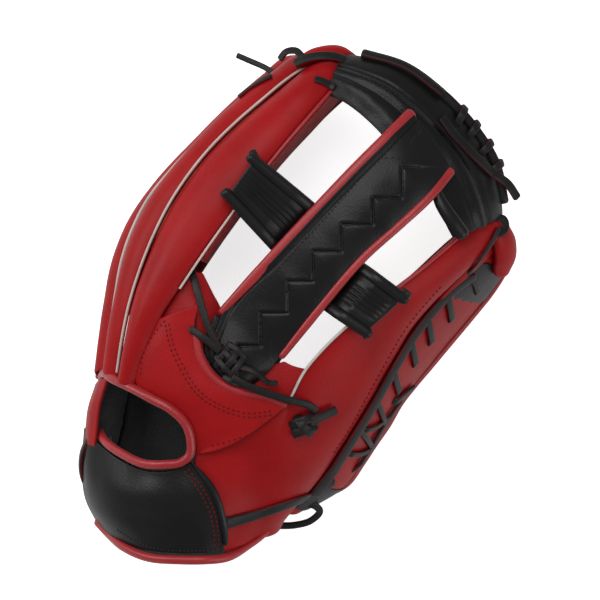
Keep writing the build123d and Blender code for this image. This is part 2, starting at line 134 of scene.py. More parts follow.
# %% [markdown]
# ## The seams
# A glove is drawn by its seams: the grooves between the finger stalls, the thumb's three
# edges, the rim round the crotch, and the strap over the wrist. Each is a short list of
# points, from the heel or the knuckles to the tip.

# %% The finger and thumb seams
FINGER_STATIONS = 12
THUMB_STATIONS = 15
FINGER_SEAMS = np.array([evened(at(*line), FINGER_STATIONS) for line in (
    ((-97, -48, 89), (-84, -14, 98), (-64, 18, 103), (-40, 52, 105),
     (-16, 84, 104), (6, 110, 99), (19, 125, 92), (27, 134, 83)),
    ((-109, -43, 80), (-103, -8, 86), (-93, 24, 88), (-76, 60, 89),
     (-52, 92, 88), (-24, 118, 84), (-3, 135, 77), (8, 142, 68)),
    ((-115, -38, 60), (-110, -3, 62), (-105, 25, 62), (-91, 58, 61),
     (-66, 88, 60), (-37, 117, 57), (-13, 136, 51), (-1, 143, 44)),
    ((-120, -43, 39), (-115, -4, 37), (-109, 24, 34), (-91, 56, 32),
     (-64, 86, 30), (-36, 115, 28), (-15, 134, 25), (-5, 141, 21)),
    ((-115, -46, 18), (-110, -8, 12), (-103, 18, 7), (-87, 50, 4.5),
     (-60, 80, 4), (-34, 106, 4), (-18, 121, 5), (-10, 128, 6)),
)])
THUMB_WEB_SEAM = evened(at(
    (-26, -141, 60), (-20, -118, 75), (-14, -92, 87), (-7, -62, 96), (3, -42, 100),
    (22, -21, 102), (42, -4, 102), (64, 12, 100), (86, 30, 92), (104, 45, 82), (112, 50, 75),
), THUMB_STATIONS)
THUMB_LACED_SEAM = evened(at(
    (-9, -130, 34), (10, -112, 46), (23, -94, 56), (34, -76, 63), (45, -58, 67),
    (57, -37, 69), (71, -14, 69), (87, 4, 68), (104, 20, 64), (117, 33, 58), (122, 39, 54),
), THUMB_STATIONS)
THUMB_LIP_SEAM = evened(at(
    (2, -123, 7), (28, -112, 6), (42, -92, 6), (52, -78, 5), (62, -61, 5),
    (76, -44, 5), (91, -26, 5), (106, -8, 6), (119, 9, 10), (126, 22, 16), (128, 28, 20),
), THUMB_STATIONS)
THUMB_PALM_CREST = evened(at(
    (-19, -139, 15), (-13, -112, 29), (-8, -87, 42), (-2, -60, 56), (4, -43, 68),
    (21, -23, 74), (41, -7, 75), (62, 9, 73), (83, 28, 67), (100, 42, 58), (107, 46, 52),
), THUMB_STATIONS)
THUMB_PALM_LIP = evened(at(
    (-9, -128, 9), (17, -106, 8), (30, -86, 7), (40, -71, 7), (50, -54, 7),
    (64, -37, 7), (79, -19, 7), (94, -1, 8), (108, 14, 12), (115, 25, 18), (118, 30, 22),
), THUMB_STATIONS)
WEB_START = 5
print("seams", FINGER_SEAMS.shape, THUMB_WEB_SEAM.shape)

# %% The back of the hand, the strap and the rims
CROTCH_RIM = at(
    (-9, -63, 97), (-22, -57, 99), (-36, -54, 101), (-50, -47, 102), (-59, -34, 103),
    (-62, -18, 104), (-60, -3, 105),
)
STRAP_ROWS = at(
    ((-45, -151, 74), (-58, -152, 78), (-73, -152, 76), (-89, -151, 68), (-103, -146, 54),
     (-113, -138, 37), (-115, -129, 21)),
    ((-46, -134, 82), (-63, -135, 84), (-80, -135, 80), (-97, -133, 71), (-112, -129, 56),
     (-120, -123, 38), (-121, -116, 20)),
    ((-52, -114, 87), (-69, -117, 87), (-87, -118, 82), (-103, -116, 72), (-117, -111, 56),
     (-124, -104, 38), (-123, -96, 19)),
    ((-65, -97, 88), (-79, -102, 85), (-92, -102, 78), (-105, -97, 66), (-116, -89, 51),
     (-122, -79, 35), (-120, -71, 19)),
)
WINDOW_UPPER = at(
    (-63, -92, 88), (-65, -84, 92), (-68, -74, 95), (-77, -65, 96), (-88, -59, 94),
    (-99.3, -53, 88.3), (-111.5, -47.4, 78.2), (-117.3, -43.8, 60), (-119, -49, 38),
    (-114, -54, 20),
)
WINDOW_LOWER = at(
    (-66.3, -94.1, 89.3), (-79, -98, 87), (-92, -98, 80), (-105, -93, 68), (-117, -85, 53),
    (-122.2, -75, 36), (-118.8, -67, 21),
)
WRIST_EDGE = at(
    (-13, -127, 47), (-20, -139, 53), (-32, -148, 60), (-45, -154.4, 73), (-58, -155.4, 78),
    (-73, -155.4, 76), (-90, -154.4, 68), (-106, -148.5, 54), (-116, -140.5, 38),
)
HEEL_EDGE = at(
    (-38, -152.4, 8), (-55, -154.4, 6), (-73, -154.4, 5), (-91, -153.4, 4.5),
    (-108, -147.5, 5), (-118, -136.5, 7),
)
PINKY_HEEL = at(
    ((-123, -133, 31), (-123, -132, 20), (-118.5, -131, 9)),
    ((-129, -112, 34), (-129, -110, 21), (-124, -108, 9)),
    ((-130, -88, 36), (-130, -86, 22), (-123.8, -84, 9)),
    ((-127.5, -66, 37), (-127.5, -65, 22), (-122.5, -65, 10)),
    ((-123.5, -56, 35), (-123, -55, 22), (-117, -54, 11)),
)
HEEL_ROWS = at(
    ((-38, -148, 10), (-55, -150, 8), (-73, -150, 6), (-90, -149, 5), (-105, -144, 6),
     (-113, -134, 9)),
    ((-27, -112, 28), (-49, -112, 26), (-74, -112, 20), (-98, -112, 12), (-112, -109, 8),
     (-121, -106, 9)),
    ((-16, -74, 47), (-40, -74, 46), (-68, -74, 37), (-92, -75, 22), (-108, -76, 12),
     (-120, -76, 9)),
    ((-42, -33, 70), (-62, -36, 64), (-78, -39, 52), (-90, -41, 36), (-99, -43, 20),
     (-105, -45, 11)),
)
print("strap rows", STRAP_ROWS.shape)

# %% The web
POST_RIGHT = at(
    (-9, -35, 98), (15, -5, 106), (41, 25, 110), (60, 42, 110), (79, 60, 106), (91, 75, 98),
)
POST_LEFT = at(
    (-49, -6, 99), (-17, 28, 107), (11, 58, 111), (31, 79, 111), (50, 98, 107), (65, 113, 99),
)
ARCH_RIM = at(
    (121, 58, 71), (116, 80, 75), (102, 103, 78), (84, 122, 81), (62, 138, 81), (37, 146, 77),
)
ARCH_INNER = at(
    (89, 41, 102), (80, 60, 101), (66, 79, 100), (51, 96, 100), (39, 108, 98), (24, 119, 94),
)
BASE_RIGHT = at((-25, -50, 96), (-16, -43, 96.5), (-10.5, -34.9, 97.1))
BASE_LEFT = at((-47, -45, 99), (-56.5, -31.5, 101), (-50.5, -7.5, 98.5))
INDEX_BAR_RIGHT = at((-17.1, 30, 110), (-7.1, 40, 112), (2.9, 50, 114), (8.9, 57, 115))
INDEX_BAR_LEFT = at((-44, 60, 115.5), (-38, 68, 117.5), (-31, 78, 118.5), (-26, 85, 118.5))
THUMB_BAR_RIGHT = at((37, -21, 111.5), (46, -13, 112.3), (55, -5, 112.3), (63, 3, 112))
THUMB_BAR_LEFT = at((19, -9, 112), (27, 0, 113), (35, 9, 114), (43, 18, 115))
# The staircase of the woven straps, seen from above.
WEAVE_STEPS = at(
    (-37, -40, 0), (-37, -27, 0), (-23.4, -27, 0), (-23.4, -7.2, 0), (-7.2, -7.2, 0),
    (-7.2, 11.4, 0), (7.8, 11.4, 0), (7.8, 29, 0), (24.6, 29, 0), (24.6, 45, 0), (43.2, 45, 0),
    (43.2, 60.5, 0), (60, 60.5, 0), (60, 78.6, 0), (69, 78.6, 0),
)[:, :2]
print("web lines drawn")

# %% [markdown]
# ## Finishes
# Glove leather is dyed full-grain hide: a fine pebble, a few long wrinkles, a slow mottle in
# the dye, and a sheen where it turns away. The grain is one shader group that every leather
# uses with its own values, so red, black and tan stay one material family.

# %% A small helper for shader trees
def add(tree, kind, inputs=None, **settings):
    """A new node with its settings, its inputs set to values or linked to sockets."""
    made = tree.nodes.new(kind)
    for key, value in settings.items():
        setattr(made, key, value)
    for key, value in (inputs or {}).items():
        if isinstance(value, bpy.types.NodeSocket):
            tree.links.new(value, made.inputs[key])
        else:
            made.inputs[key].default_value = value
    return made


def arithmetic(tree, operation, *values):
    """The result of one sum on sockets or numbers."""
    return add(tree, "ShaderNodeMath", dict(enumerate(values)), operation=operation).outputs[0]


def rgba(colour):
    """An opaque colour."""
    return (*colour, 1.0)


def new_material(name):
    """A material with an empty tree."""
    made = bpy.data.materials.new(name)
    made.use_nodes = True
    made.node_tree.nodes.clear()
    return made, made.node_tree


def ranged(tree, value, **limits):
    """A value mapped onto a range, with limits such as from_min."""
    names = {name.replace("_", " ").title(): limit for name, limit in limits.items()}
    return add(tree, "ShaderNodeMapRange", {"Value": value, **names}).outputs["Result"]


def mixed(tree, share, first, second):
    """Two colours mixed by a share."""
    return add(tree, "ShaderNodeMix", {"Factor": share, "A": first, "B": second},
               data_type="RGBA").outputs["Result"]


def clouds(tree, where, scale, detail=2.0, rough=0.5, warp=0.0):
    """A noise texture's value."""
    return add(tree, "ShaderNodeTexNoise", {
        "Vector": where, "Scale": scale, "Detail": detail, "Roughness": rough, "Distortion": warp,
    }).outputs["Fac"]


def relief(tree, height, strength, distance):
    """A normal that follows a height, with the distance in metres."""
    return add(tree, "ShaderNodeBump", {
        "Height": height, "Strength": strength, "Distance": distance,
    }).outputs["Normal"]


def show(tree, surface):
    """Sends a shader to its material's surface."""
    tree.links.new(surface, add(tree, "ShaderNodeOutputMaterial").inputs["Surface"])


def new_group(name, inputs, outputs):
    """An empty shader group with named number sockets."""
    group = bpy.data.node_groups.new(name, "ShaderNodeTree")
    for label, value in inputs.items():
        socket = group.interface.new_socket(label, in_out="INPUT", socket_type="NodeSocketFloat")
        socket.default_value = value
    for label in outputs:
        group.interface.new_socket(label, in_out="OUTPUT", socket_type="NodeSocketFloat")
    return group, group.nodes.new("NodeGroupInput"), group.nodes.new("NodeGroupOutput")


# %% The grain of the hide, as a group
def make_grain_group():
    """Height and mottle of full-grain hide from its pebble and wrinkle sizes."""
    group, given, out = new_group(
        "hide grain",
        {"Pebbles": 900.0, "Wrinkles": 70.0, "Wrinkle share": 0.5},
        ("Height", "Mottle"),
    )
    where = add(group, "ShaderNodeTexCoord").outputs["Object"]
    pebbles = add(group, "ShaderNodeTexVoronoi", {
        "Vector": where, "Scale": given.outputs["Pebbles"],
    }, feature="SMOOTH_F1")
    creases = clouds(group, where, given.outputs["Wrinkles"], 5.0, 0.6, 1.2)
    fold = arithmetic(group, "ABSOLUTE", arithmetic(group, "SUBTRACT", creases, 0.5))
    share = arithmetic(group, "MULTIPLY", fold, given.outputs["Wrinkle share"])
    height = arithmetic(group, "MULTIPLY_ADD", share, 4.0, pebbles.outputs["Distance"])
    group.links.new(height, out.inputs["Height"])
    group.links.new(clouds(group, where, 28.0, 6.0, 0.65), out.inputs["Mottle"])
    return group


# %% Worn edges, as a group
def make_wear_group():
    """A mask that is high on raised edges, broken up by noise."""
    group, given, out = new_group("edge wear", {"Amount": 0.5}, ("Mask",))
    where = add(group, "ShaderNodeTexCoord").outputs["Object"]
    bent = add(group, "ShaderNodeNewGeometry").outputs["Pointiness"]
    edge = ranged(group, bent, from_min=0.505, from_max=0.58)
    broken = arithmetic(group, "MULTIPLY", edge, clouds(group, where, 160.0, 4.0))
    mask = arithmetic(group, "MULTIPLY", broken, given.outputs["Amount"])
    group.links.new(mask, out.inputs["Mask"])
    return group


GRAIN = make_grain_group()
WEAR = make_wear_group()
print("groups", GRAIN.name, "and", WEAR.name)

# %% Leather, from one recipe
PEBBLE_HEIGHT = 0.0003


def leather(name, colour, deep, worn, rough=0.42, pebbles=900.0, wrinkles=70.0, share=0.35,
            bump=0.3, sheen=0.0, gloss=0.22):
    """A dyed hide: a colour, a deeper shade in its mottle and a worn shade on its edges."""
    made, tree = new_material(name)
    grain = add(tree, "ShaderNodeGroup", node_tree=GRAIN)
    for label, value in zip(("Pebbles", "Wrinkles", "Wrinkle share"), (pebbles, wrinkles, share)):
        grain.inputs[label].default_value = value
    wear = add(tree, "ShaderNodeGroup", node_tree=WEAR)
    mottle = grain.outputs["Mottle"]
    dyed = mixed(tree, ranged(tree, mottle, from_min=0.3, from_max=0.7), rgba(deep), rgba(colour))
    shader = add(tree, "ShaderNodeBsdfPrincipled", {
        "Base Color": mixed(tree, wear.outputs["Mask"], dyed, rgba(worn)),
        "Roughness": ranged(tree, mottle, to_min=rough - 0.07, to_max=rough + 0.1),
        "Normal": relief(tree, grain.outputs["Height"], bump, PEBBLE_HEIGHT),
        "Sheen Weight": sheen, "Sheen Roughness": 0.4,
        "Sheen Tint": rgba((1.0, 0.7, 0.7)), "IOR": 1.46, "Specular IOR Level": gloss,
    })
    show(tree, shader.outputs["BSDF"])
    return made


RED = leather("red leather", (0.30, 0.0045, 0.006), (0.23, 0.003, 0.004), (0.36, 0.02, 0.02),
              gloss=0.16)
RED_ROLL = leather("red binding", (0.32, 0.014, 0.018), (0.25, 0.009, 0.012), (0.42, 0.06, 0.06),
                   rough=0.36, pebbles=1300.0, wrinkles=220.0, share=0.5, sheen=0.12, gloss=0.5)
PALM = leather("palm leather", (0.25, 0.0085, 0.010), (0.17, 0.006, 0.007), (0.32, 0.03, 0.03),
               rough=0.5, wrinkles=45.0, share=0.6)
BLACK = leather("black leather", (0.0072, 0.0070, 0.0074), (0.0042, 0.0042, 0.0046),
                (0.02, 0.02, 0.021), rough=0.34, wrinkles=60.0, share=0.2, bump=0.28,
                gloss=0.22)
BLACK_ROLL = leather("black binding", (0.0075, 0.0072, 0.0076), (0.0045, 0.0045, 0.0048),
                     (0.025, 0.02, 0.02), rough=0.34, pebbles=1300.0, wrinkles=220.0, bump=0.25,
                     gloss=0.26)
LACE = leather("black lace", (0.0075, 0.0072, 0.0075), (0.004, 0.004, 0.004),
               (0.04, 0.012, 0.012), rough=0.42, pebbles=1600.0, wrinkles=260.0, share=0.5,
               gloss=0.26)
LACE_EDGE = leather("lace underside", (0.12, 0.009, 0.011), (0.03, 0.005, 0.005),
                    (0.10, 0.02, 0.02), rough=0.7, pebbles=1600.0, wrinkles=300.0, share=0.8)
PIPING = leather("grey piping", (0.50, 0.44, 0.41), (0.40, 0.34, 0.31), (0.6, 0.56, 0.52),
                 rough=0.4, pebbles=1500.0, wrinkles=260.0, bump=0.25)
TAN = leather("tan lining", (0.40, 0.24, 0.13), (0.30, 0.17, 0.09), (0.48, 0.32, 0.2),
              rough=0.7, wrinkles=60.0, share=0.7)
RAW_RED = leather("red cut edge", (0.15, 0.006, 0.008), (0.08, 0.004, 0.005),
                  (0.18, 0.02, 0.02), rough=0.8, pebbles=1600.0, bump=0.6)
RAW_BLACK = leather("black cut edge", (0.014, 0.008, 0.008), (0.006, 0.004, 0.004),
                    (0.04, 0.012, 0.012), rough=0.8, pebbles=1600.0, bump=0.6)
print("leathers made")

# %% [markdown]
# Thread, felt, fleece and the moulded insert aren't hide, so they have a recipe of their own:
# two shades in a fine noise, which also gives the strands. Felt and fleece are fibres, which
# scatter light at their rim, and sheen is the shader's word for that.

# %% Thread, felt, fleece and plastic
FIBRE_HEIGHT = 0.0006


def fibre(name, colour, deep, scale, rough, sheen, bump):
    """A fibrous or moulded finish: two shades in noise, with a rim of light."""
    made, tree = new_material(name)
    where = add(tree, "ShaderNodeTexCoord").outputs["Object"]
    strands = clouds(tree, where, scale, 8.0, 0.7, 0.6)
    shader = add(tree, "ShaderNodeBsdfPrincipled", {
        "Base Color": mixed(tree, strands, rgba(deep), rgba(colour)), "Roughness": rough,
        "Sheen Weight": sheen, "Specular IOR Level": 0.25, "Sheen Roughness": 0.5,
        "Normal": relief(tree, strands, bump, FIBRE_HEIGHT),
    })
    show(tree, shader.outputs["BSDF"])
    return made


RED_THREAD = fibre("red thread", (0.15, 0.004, 0.005), (0.06, 0.002, 0.003), 2500, 0.9, 0.0, 0.5)
DARK_THREAD = fibre("black thread", (0.012, 0.011, 0.012), (0.005, 0.005, 0.005), 2500, 0.5,
                    0.0, 0.5)
FELT = fibre("pressed felt", (0.50, 0.48, 0.44), (0.36, 0.34, 0.30), 700, 0.95, 0.5, 0.7)
FLEECE = fibre("black fleece", (0.020, 0.021, 0.023), (0.002, 0.002, 0.003), 420, 0.75, 0.2, 1.0)
INSERT = fibre("moulded insert", (0.80, 0.80, 0.77), (0.72, 0.72, 0.69), 300, 0.5, 0.0, 0.1)
SLOTS = {finish.name: finish.name.replace(" ", "_") for finish in (
    RED, RED_ROLL, PALM, BLACK, BLACK_ROLL, LACE, PIPING, TAN)}
SLOTS |= {"red thread": "red_binding", "black thread": "black_lace", "pressed felt": "felt",
          "black fleece": "fleece", "moulded insert": "plastic"}
# The raw edge that each leather shows where it is cut.
EDGES = {"red leather": RAW_RED, "palm leather": RAW_RED, "black leather": RAW_BLACK}
print("finishes for slots", sorted(set(SLOTS.values())))

# %% [markdown]
# ## Tools for soft pieces
# Three builders make almost everything. A skin is a sheet of leather given by a grid of
# points, thickened inward and rounded at its cut edges. A band is a roll or a piping swept
# along a line with a small outline, and laces are joined from such runs. Stitches are short
# beads of thread laid along a line.

# %% Put a piece on its body
def settle(piece, body, nodes=(), bend=None):
    """Hides the nodes a piece stands for; hangs it on its body, or bakes it in place if it has a
    fold zone.
    """
    if nodes:
        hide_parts(*nodes)
    if bend:
        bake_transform(piece)
    else:
        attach(piece, body)


def object_from(name, points, faces, finishes, kinds=None):
    """A smooth-shaded mesh object from points and faces, with one finish for each kind."""
    mesh = bpy.data.meshes.new(name)
    mesh.from_pydata([tuple(point) for point in points], [], faces)
    for finish in finishes:
        mesh.materials.append(finish)
    if kinds is not None:
        mesh.polygons.foreach_set("material_index", kinds)
    mesh.polygons.foreach_set("use_smooth", [True] * len(mesh.polygons))
    mesh.update()
    made = bpy.data.objects.new(name, mesh)
    bpy.context.scene.collection.objects.link(made)
    return made


# %% Skins
SURFACES = {}


def grid_faces(rows, columns, first=0):
    """The quads of a grid, turned so that their normals point outward."""
    return [
        (first + r * columns + c, first + (r + 1) * columns + c,
         first + (r + 1) * columns + c + 1, first + r * columns + c + 1)
        for r in range(rows - 1) for c in range(columns - 1)
    ]


def soften(piece):
    """Rounds a piece's corners."""
    soft = piece.modifiers.new("soft edges", "SUBSURF")
    soft.levels = soft.render_levels = 1


def hide(name, points, faces, thickness, finish, smooth=True):
    """A sheet thickened inward, in millimetres, with its raw edge in the edge's own finish."""
    piece = object_from(name, points, faces, [finish, EDGES.get(finish.name, finish)])
    SURFACES[name] = BVHTree.FromPolygons([Vector(p) for p in points], faces)
    thick = piece.modifiers.new("thickness", "SOLIDIFY")
    thick.thickness = thickness * MM
    thick.offset = -1
    thick.material_offset_rim = 1
    if smooth:
        soften(piece)
    return piece


def skin(name, grid, thickness, finish, body, nodes=(), bend=None, smooth=True):
    """A sheet of leather whose outer face is the grid."""
    piece = hide(name, grid.reshape(-1, 3), grid_faces(*grid.shape[:2]), thickness, finish, smooth)
    settle(piece, body, nodes, bend)


def pillowed(right, left, bulge, rows, columns, inset=1.2, drop=1.6, power=0.7):
    """A crowned strip between two seams, rolled down where it meets them, in millimetres."""
    if len(right) == len(left):
        right, left = np.swapaxes(evened(np.stack([right, left], axis=1), rows), 0, 1)
    else:
        right, left = evened(right, rows), evened(left, rows)
    across = unit(left - right)
    start = right + across * inset * MM
    end = left - across * inset * MM
    share = (1 - np.cos(np.pi * np.linspace(0, 1, columns))) / 2
    share = share[None, :, None]
    flat = between(start[:, None, :], end[:, None, :], share)
    crown = (4 * share * (1 - share)) ** power
    return flat + outward(flat) * (bulge * crown - drop * (1 - crown)) * MM


def used(grid, amount, size, seed):
    """The grid with the slow unevenness of used leather, amount and size in millimetres."""
    heights = []
    for point in grid.reshape(-1, 3):
        place = Vector(point) / (size * MM) + Vector((seed, seed * 2, 0))
        heights.append(noise.noise(place) + 0.4 * noise.noise(place * 2.7))
    return raised(grid, np.array(heights).reshape(*grid.shape[:2], 1) * amount * MM)


# %% Bands: laces, rolls and pipings
# A cap's length by the outline's height, its width by the outline's, and how far out a face
# has to lie to count as the flank, which takes the second finish.
CAP_SHARE = 0.35
CAP_SIZE = 0.6
FLANK = 0.86
LEVER = 0.01


def oval(width, height, count=12, squareness=1.0):
    """A closed outline, width by height in millimetres; a low squareness is more boxy."""
    turn = np.linspace(0, 2 * np.pi, count, endpoint=False)
    side = np.sign(np.cos(turn)) * np.abs(np.cos(turn)) ** squareness * width / 2
    up = np.sign(np.sin(turn)) * np.abs(np.sin(turn)) ** squareness * height / 2
    return np.stack([side, up], axis=1) * MM


FLAT_LACE = oval(4.6, 2.2, 14, 0.55)


def swept(line, ups, outline, widths=None, step=1.6):
    """The points and faces of an outline swept along a line; ups say which way its top faces."""
    line = np.asarray(line, float)
    length = np.linalg.norm(np.diff(line, axis=0), axis=1).sum()
    count = max(8, int(length / (step * MM)))
    ups = np.broadcast_to(np.asarray(ups, float), line.shape)
    path = evened(line, count)
    tops = unit(evened(np.concatenate([line, ups * LEVER + line], axis=1), count)[:, 3:] - path)
    ways = unit(np.gradient(path, axis=0))
    sides = unit(np.cross(ways, tops))
    tops = np.cross(sides, ways)
    widths = (1.0, 1.0) if widths is None else widths
    scale = np.interp(np.linspace(0, 1, count), np.linspace(0, 1, len(widths)), widths)
    rings = [
        path[i] + sides[i] * outline[:, :1] * scale[i] + tops[i] * outline[:, 1:]
        for i in range(count)
    ]
    cap = CAP_SHARE * np.abs(outline[:, 1]).max()
    ends = []
    for ring, way in ((rings[0], -ways[0]), (rings[-1], ways[-1])):
        middle = ring.mean(axis=0)
        ends.append(middle + (ring - middle) * CAP_SIZE + way * cap)
    rings = [ends[0], *rings, ends[1]]
    around = len(outline)
    faces, kinds = [], []
    for r in range(len(rings) - 1):
        for c in range(around):
            d = (c + 1) % around
            faces.append((r * around + c, r * around + d, (r + 1) * around + d,
                          (r + 1) * around + c))
            middle = np.abs((outline[c] + outline[d]) / 2) / np.abs(outline).max(axis=0)
            kinds.append(int(middle[0] > FLANK or outline[c, 1] + outline[d, 1] < 0))
    faces.append(tuple(range(around)))
    faces.append(tuple((len(rings) - 1) * around + c for c in reversed(range(around))))
    return np.concatenate(rings), faces, kinds + [1, 1]


def joined(name, parts, finish, body, nodes=(), edge=None, bend=None, smooth=True):
    """One object from several swept parts."""
    points, faces, kinds, first = [], [], [], 0
    for part_points, part_faces, part_kinds in parts:
        points.append(part_points)
        faces += [tuple(first + corner for corner in face) for face in part_faces]
        kinds += part_kinds
        first += len(part_points)
    piece = object_from(name, np.concatenate(points), faces, [finish, edge or finish], kinds)
    if smooth:
        soften(piece)
    settle(piece, body, nodes, bend)


def band(name, line, ups, outline, finish, body, nodes=(), edge=None, widths=None, bend=None):
    """One lace or roll as a piece of its own."""
    joined(name, [swept(line, ups, outline, widths)], finish, body, nodes, edge, bend)


# %% Lines laid on a surface, and stitches
ABOVE = 0.3
STITCH_SIDES = 6
# Each ring of a stitch: how far along it, how thick, and how far out of the leather.
STITCH_RINGS = ((-0.5, 0.35, -0.3), (-0.3, 1, 0.12), (0.3, 1, 0.12), (0.5, 0.35, -0.3))
STITCH_FLATNESS = 1.25


def laid(surfaces, points, lift=0.0, count=40):
    """Drawn points, X and Y in millimetres, dropped from above onto the highest of the skins."""
    places, normals = [], []
    for point in evened(at(*[(x, y, 0) for x, y in points]), count):
        best = None
        for surface in surfaces.split():
            hit, normal, _, _ = SURFACES[surface].ray_cast(
                Vector((point[0], point[1], ABOVE)), Vector((0, 0, -1)))
            if hit is not None and (best is None or hit.z > best[0].z):
                best = (hit, normal if normal.z > 0 else -normal)
        if best is not None:
            places.append(np.array(best[0] + best[1] * lift * MM))
            normals.append(np.array(best[1]))
    return np.array(places), np.array(normals)


def stitches(name, rows, finish, body, pitch=3.0, length=2.0, radius=0.34):
    """Rows of stitches, each a short bead of thread that dips into the leather at its ends."""
    turn = np.linspace(0, 2 * np.pi, STITCH_SIDES, endpoint=False)
    quads = [
        (r * STITCH_SIDES + c, r * STITCH_SIDES + d, (r + 1) * STITCH_SIDES + d,
         (r + 1) * STITCH_SIDES + c)
        for r in range(len(STITCH_RINGS) - 1)
        for c, d in zip(range(STITCH_SIDES), (*range(1, STITCH_SIDES), 0))
    ]
    last = len(STITCH_RINGS) * STITCH_SIDES - 1
    quads += [tuple(range(STITCH_SIDES)), tuple(last - c for c in range(STITCH_SIDES))]
    parts = []
    for places, normals in rows:
        run = np.linalg.norm(np.diff(places, axis=0), axis=1).sum()
        count = max(2, int(run / (pitch * MM)))
        both = evened(np.concatenate([places, places + normals * LEVER], axis=1), count * 3)
        path, tops = both[:, :3], unit(both[:, 3:] - both[:, :3])
        ways = unit(np.gradient(path, axis=0))
        for index in range(1, count * 3 - 1, 3):
            middle, top, way = path[index], tops[index], ways[index]
            side = np.cross(way, top)
            rings = []
            for along, size, out in STITCH_RINGS:
                centre = middle + way * along * length * MM + top * out * MM
                rings.append(np.array([
                    centre + (side * np.cos(angle) * STITCH_FLATNESS + top * np.sin(angle))
                    * radius * size * MM for angle in turn
                ]))
            parts.append((np.concatenate(rings), quads, [0] * len(quads)))
    joined(name, parts, finish, body, smooth=False)


def beside(places, normals, offset):
    """A line moved sideways on its surface, in millimetres, to its left seen along it."""
    ways = unit(np.gradient(places, axis=0))
    return places + np.cross(normals, ways) * offset * MM, normals


print("tools ready")

# %% [markdown]
# ## The finger stalls
# Each stall's back is one strip of red leather, puffed by the padding under it and rolled
# into the groove on both sides. Drawing it as a flat strip and adding a rounded crown gives
# that form exactly, where a cloth simulation would only come near it.

# %% How deep each stall goes
STALL_DEPTH = 24.0
TIP_WRAP = 4.0


def stall_ways():
    """The way into the stalls at each seam and station, and the seams' own ways along."""
    panels = []
    for right, left in zip(FINGER_SEAMS[:-1], FINGER_SEAMS[1:]):
        panels.append(-outward(np.stack([right, left], axis=1))[:, 0])
    panels = np.array(panels)
    inner = unit(panels[:-1] + panels[1:])
    web_side = unit(panels[0] + np.array((0.0, 0.0, -1.4)))
    pinky_side = unit(panels[-1] + np.array((0.0, 0.0, 0.12)))
    ways_in = np.concatenate([web_side[None], inner, pinky_side[None]])
    return ways_in, unit(np.gradient(FINGER_SEAMS, axis=1))


WAYS_IN, WAYS_ALONG = stall_ways()
print("ways into the stalls", WAYS_IN.shape)

# %% The four back leathers
ROOT_TUCK = np.array((5.0, 4.5, 4.0, 4.0, 4.0))
TIP_REACH = np.array((7.0, 7.5, 5.5, 4.0, 4.0))


def back_seams():
    """The finger seams run down under the window's roll and closed over the tips."""
    tip = FINGER_SEAMS[:, -1]
    ahead = WAYS_ALONG[:, -1] * TIP_REACH[:, None] * MM
    into = WAYS_IN[:, -1] * STALL_DEPTH * MM
    root = FINGER_SEAMS[:, 0] - WAYS_ALONG[:, 0] * ROOT_TUCK[:, None] * MM
    first = tip + ahead + into * 0.3
    last = tip + ahead * 1.1 + into * 0.78
    return np.concatenate([root[:, None], FINGER_SEAMS, first[:, None], last[:, None]], axis=1)


seams = back_seams()
for number, finger in enumerate(("index", "middle", "ring", "pinky")):
    strip = pillowed(seams[number], seams[number + 1], 6.0, 104, 27, power=0.8)
    strip = used(strip, 0.45, 34.0, number + 3.0)
    skin(finger + "_back", strip, 2.4, RED, "root", [finger + "_back_shell"])
    print(finger, "back", strip.shape)


# %% The pipings in the grooves
for name, number, first, last, radius, proud, finish in (
    ("index_web_welt", 0, 3, 7, 0.75, -0.3, PIPING), ("", 0, 6, 12, 1.0, -0.4, RED_ROLL),
    ("index_middle_welt", 1, 0, 12, 0.85, 0.5, PIPING),
    ("middle_ring_welt", 2, 0, 12, 1.0, 1.7, PIPING),
    ("ring_pinky_welt", 3, 0, 12, 1.0, 1.9, PIPING),
    ("pinky_edge_welt", 4, 0, 12, 1.8, 0.0, PIPING),
):
    out = -WAYS_IN[number, first:last]
    line = FINGER_SEAMS[number, first:last] + out * proud * MM
    band((name or "index_web_edge") + "_roll", line, out, oval(2 * radius, 2 * radius), finish,
         "root", [name] if name else ())
print("pipings laid")

# %% The inner pieces keep their shape and get their own finish
INNER = {
    RED: ("index_side_wall", "thumb_web_wall", "pinky_side_wall"),
    TAN: ("index_middle_wall", "middle_ring_wall", "ring_pinky_wall", "thumb_loop"),
    FLEECE: ("hand_liner",),
    FELT: ("palm_felt", "thumb_heel_felt"),
    INSERT: ("thumb_stiffener",),
}
for finish, names in INNER.items():
    for name in names:
        frame["nodes"][name].data.materials.clear()
        frame["nodes"][name].data.materials.append(finish)
print("inner pieces finished")

# %% [markdown]
# ## The back of the hand and the heel
# The leather over the back of the hand meets the index finger's in a lapped seam with two
# rows of stitches. The leather of the heel runs on into the thumb's back in one piece, which
# is baked in place across the two bodies rather than hung on either.

# %% The back of the hand
TONGUE_LEFT = at(
    (-62, -91, 88.5), (-63.5, -82, 92), (-67, -72, 95), (-76.5, -63, 95.5), (-95, -55, 89),
    (-99, -42, 88), (-87, -12, 93.5),
)
tongue_cross = np.stack([
    CROTCH_RIM, (CROTCH_RIM * 2 + TONGUE_LEFT) / 3, (CROTCH_RIM + TONGUE_LEFT * 2) / 3,
    TONGUE_LEFT,
], axis=1)
sag = np.array((2.0, 8.5, 8.0, 1.5))[:, None] * mm(-0.44, -0.87, -0.2)
tongue = refined(np.concatenate([(tongue_cross[0] + sag)[None], tongue_cross]), 70, 50)
share = np.linspace(0, 1, 50)[None, :, None]
tongue = raised(tongue, (2.8 * 4 * share * (1 - share) + 1.0 - 1.4 * share ** 6) * MM)
skin("hand_back", used(tongue, 0.4, 40.0, 11.0), 2.0, RED, "root", ["back_hand_shell"])
print("hand back", tongue.shape)

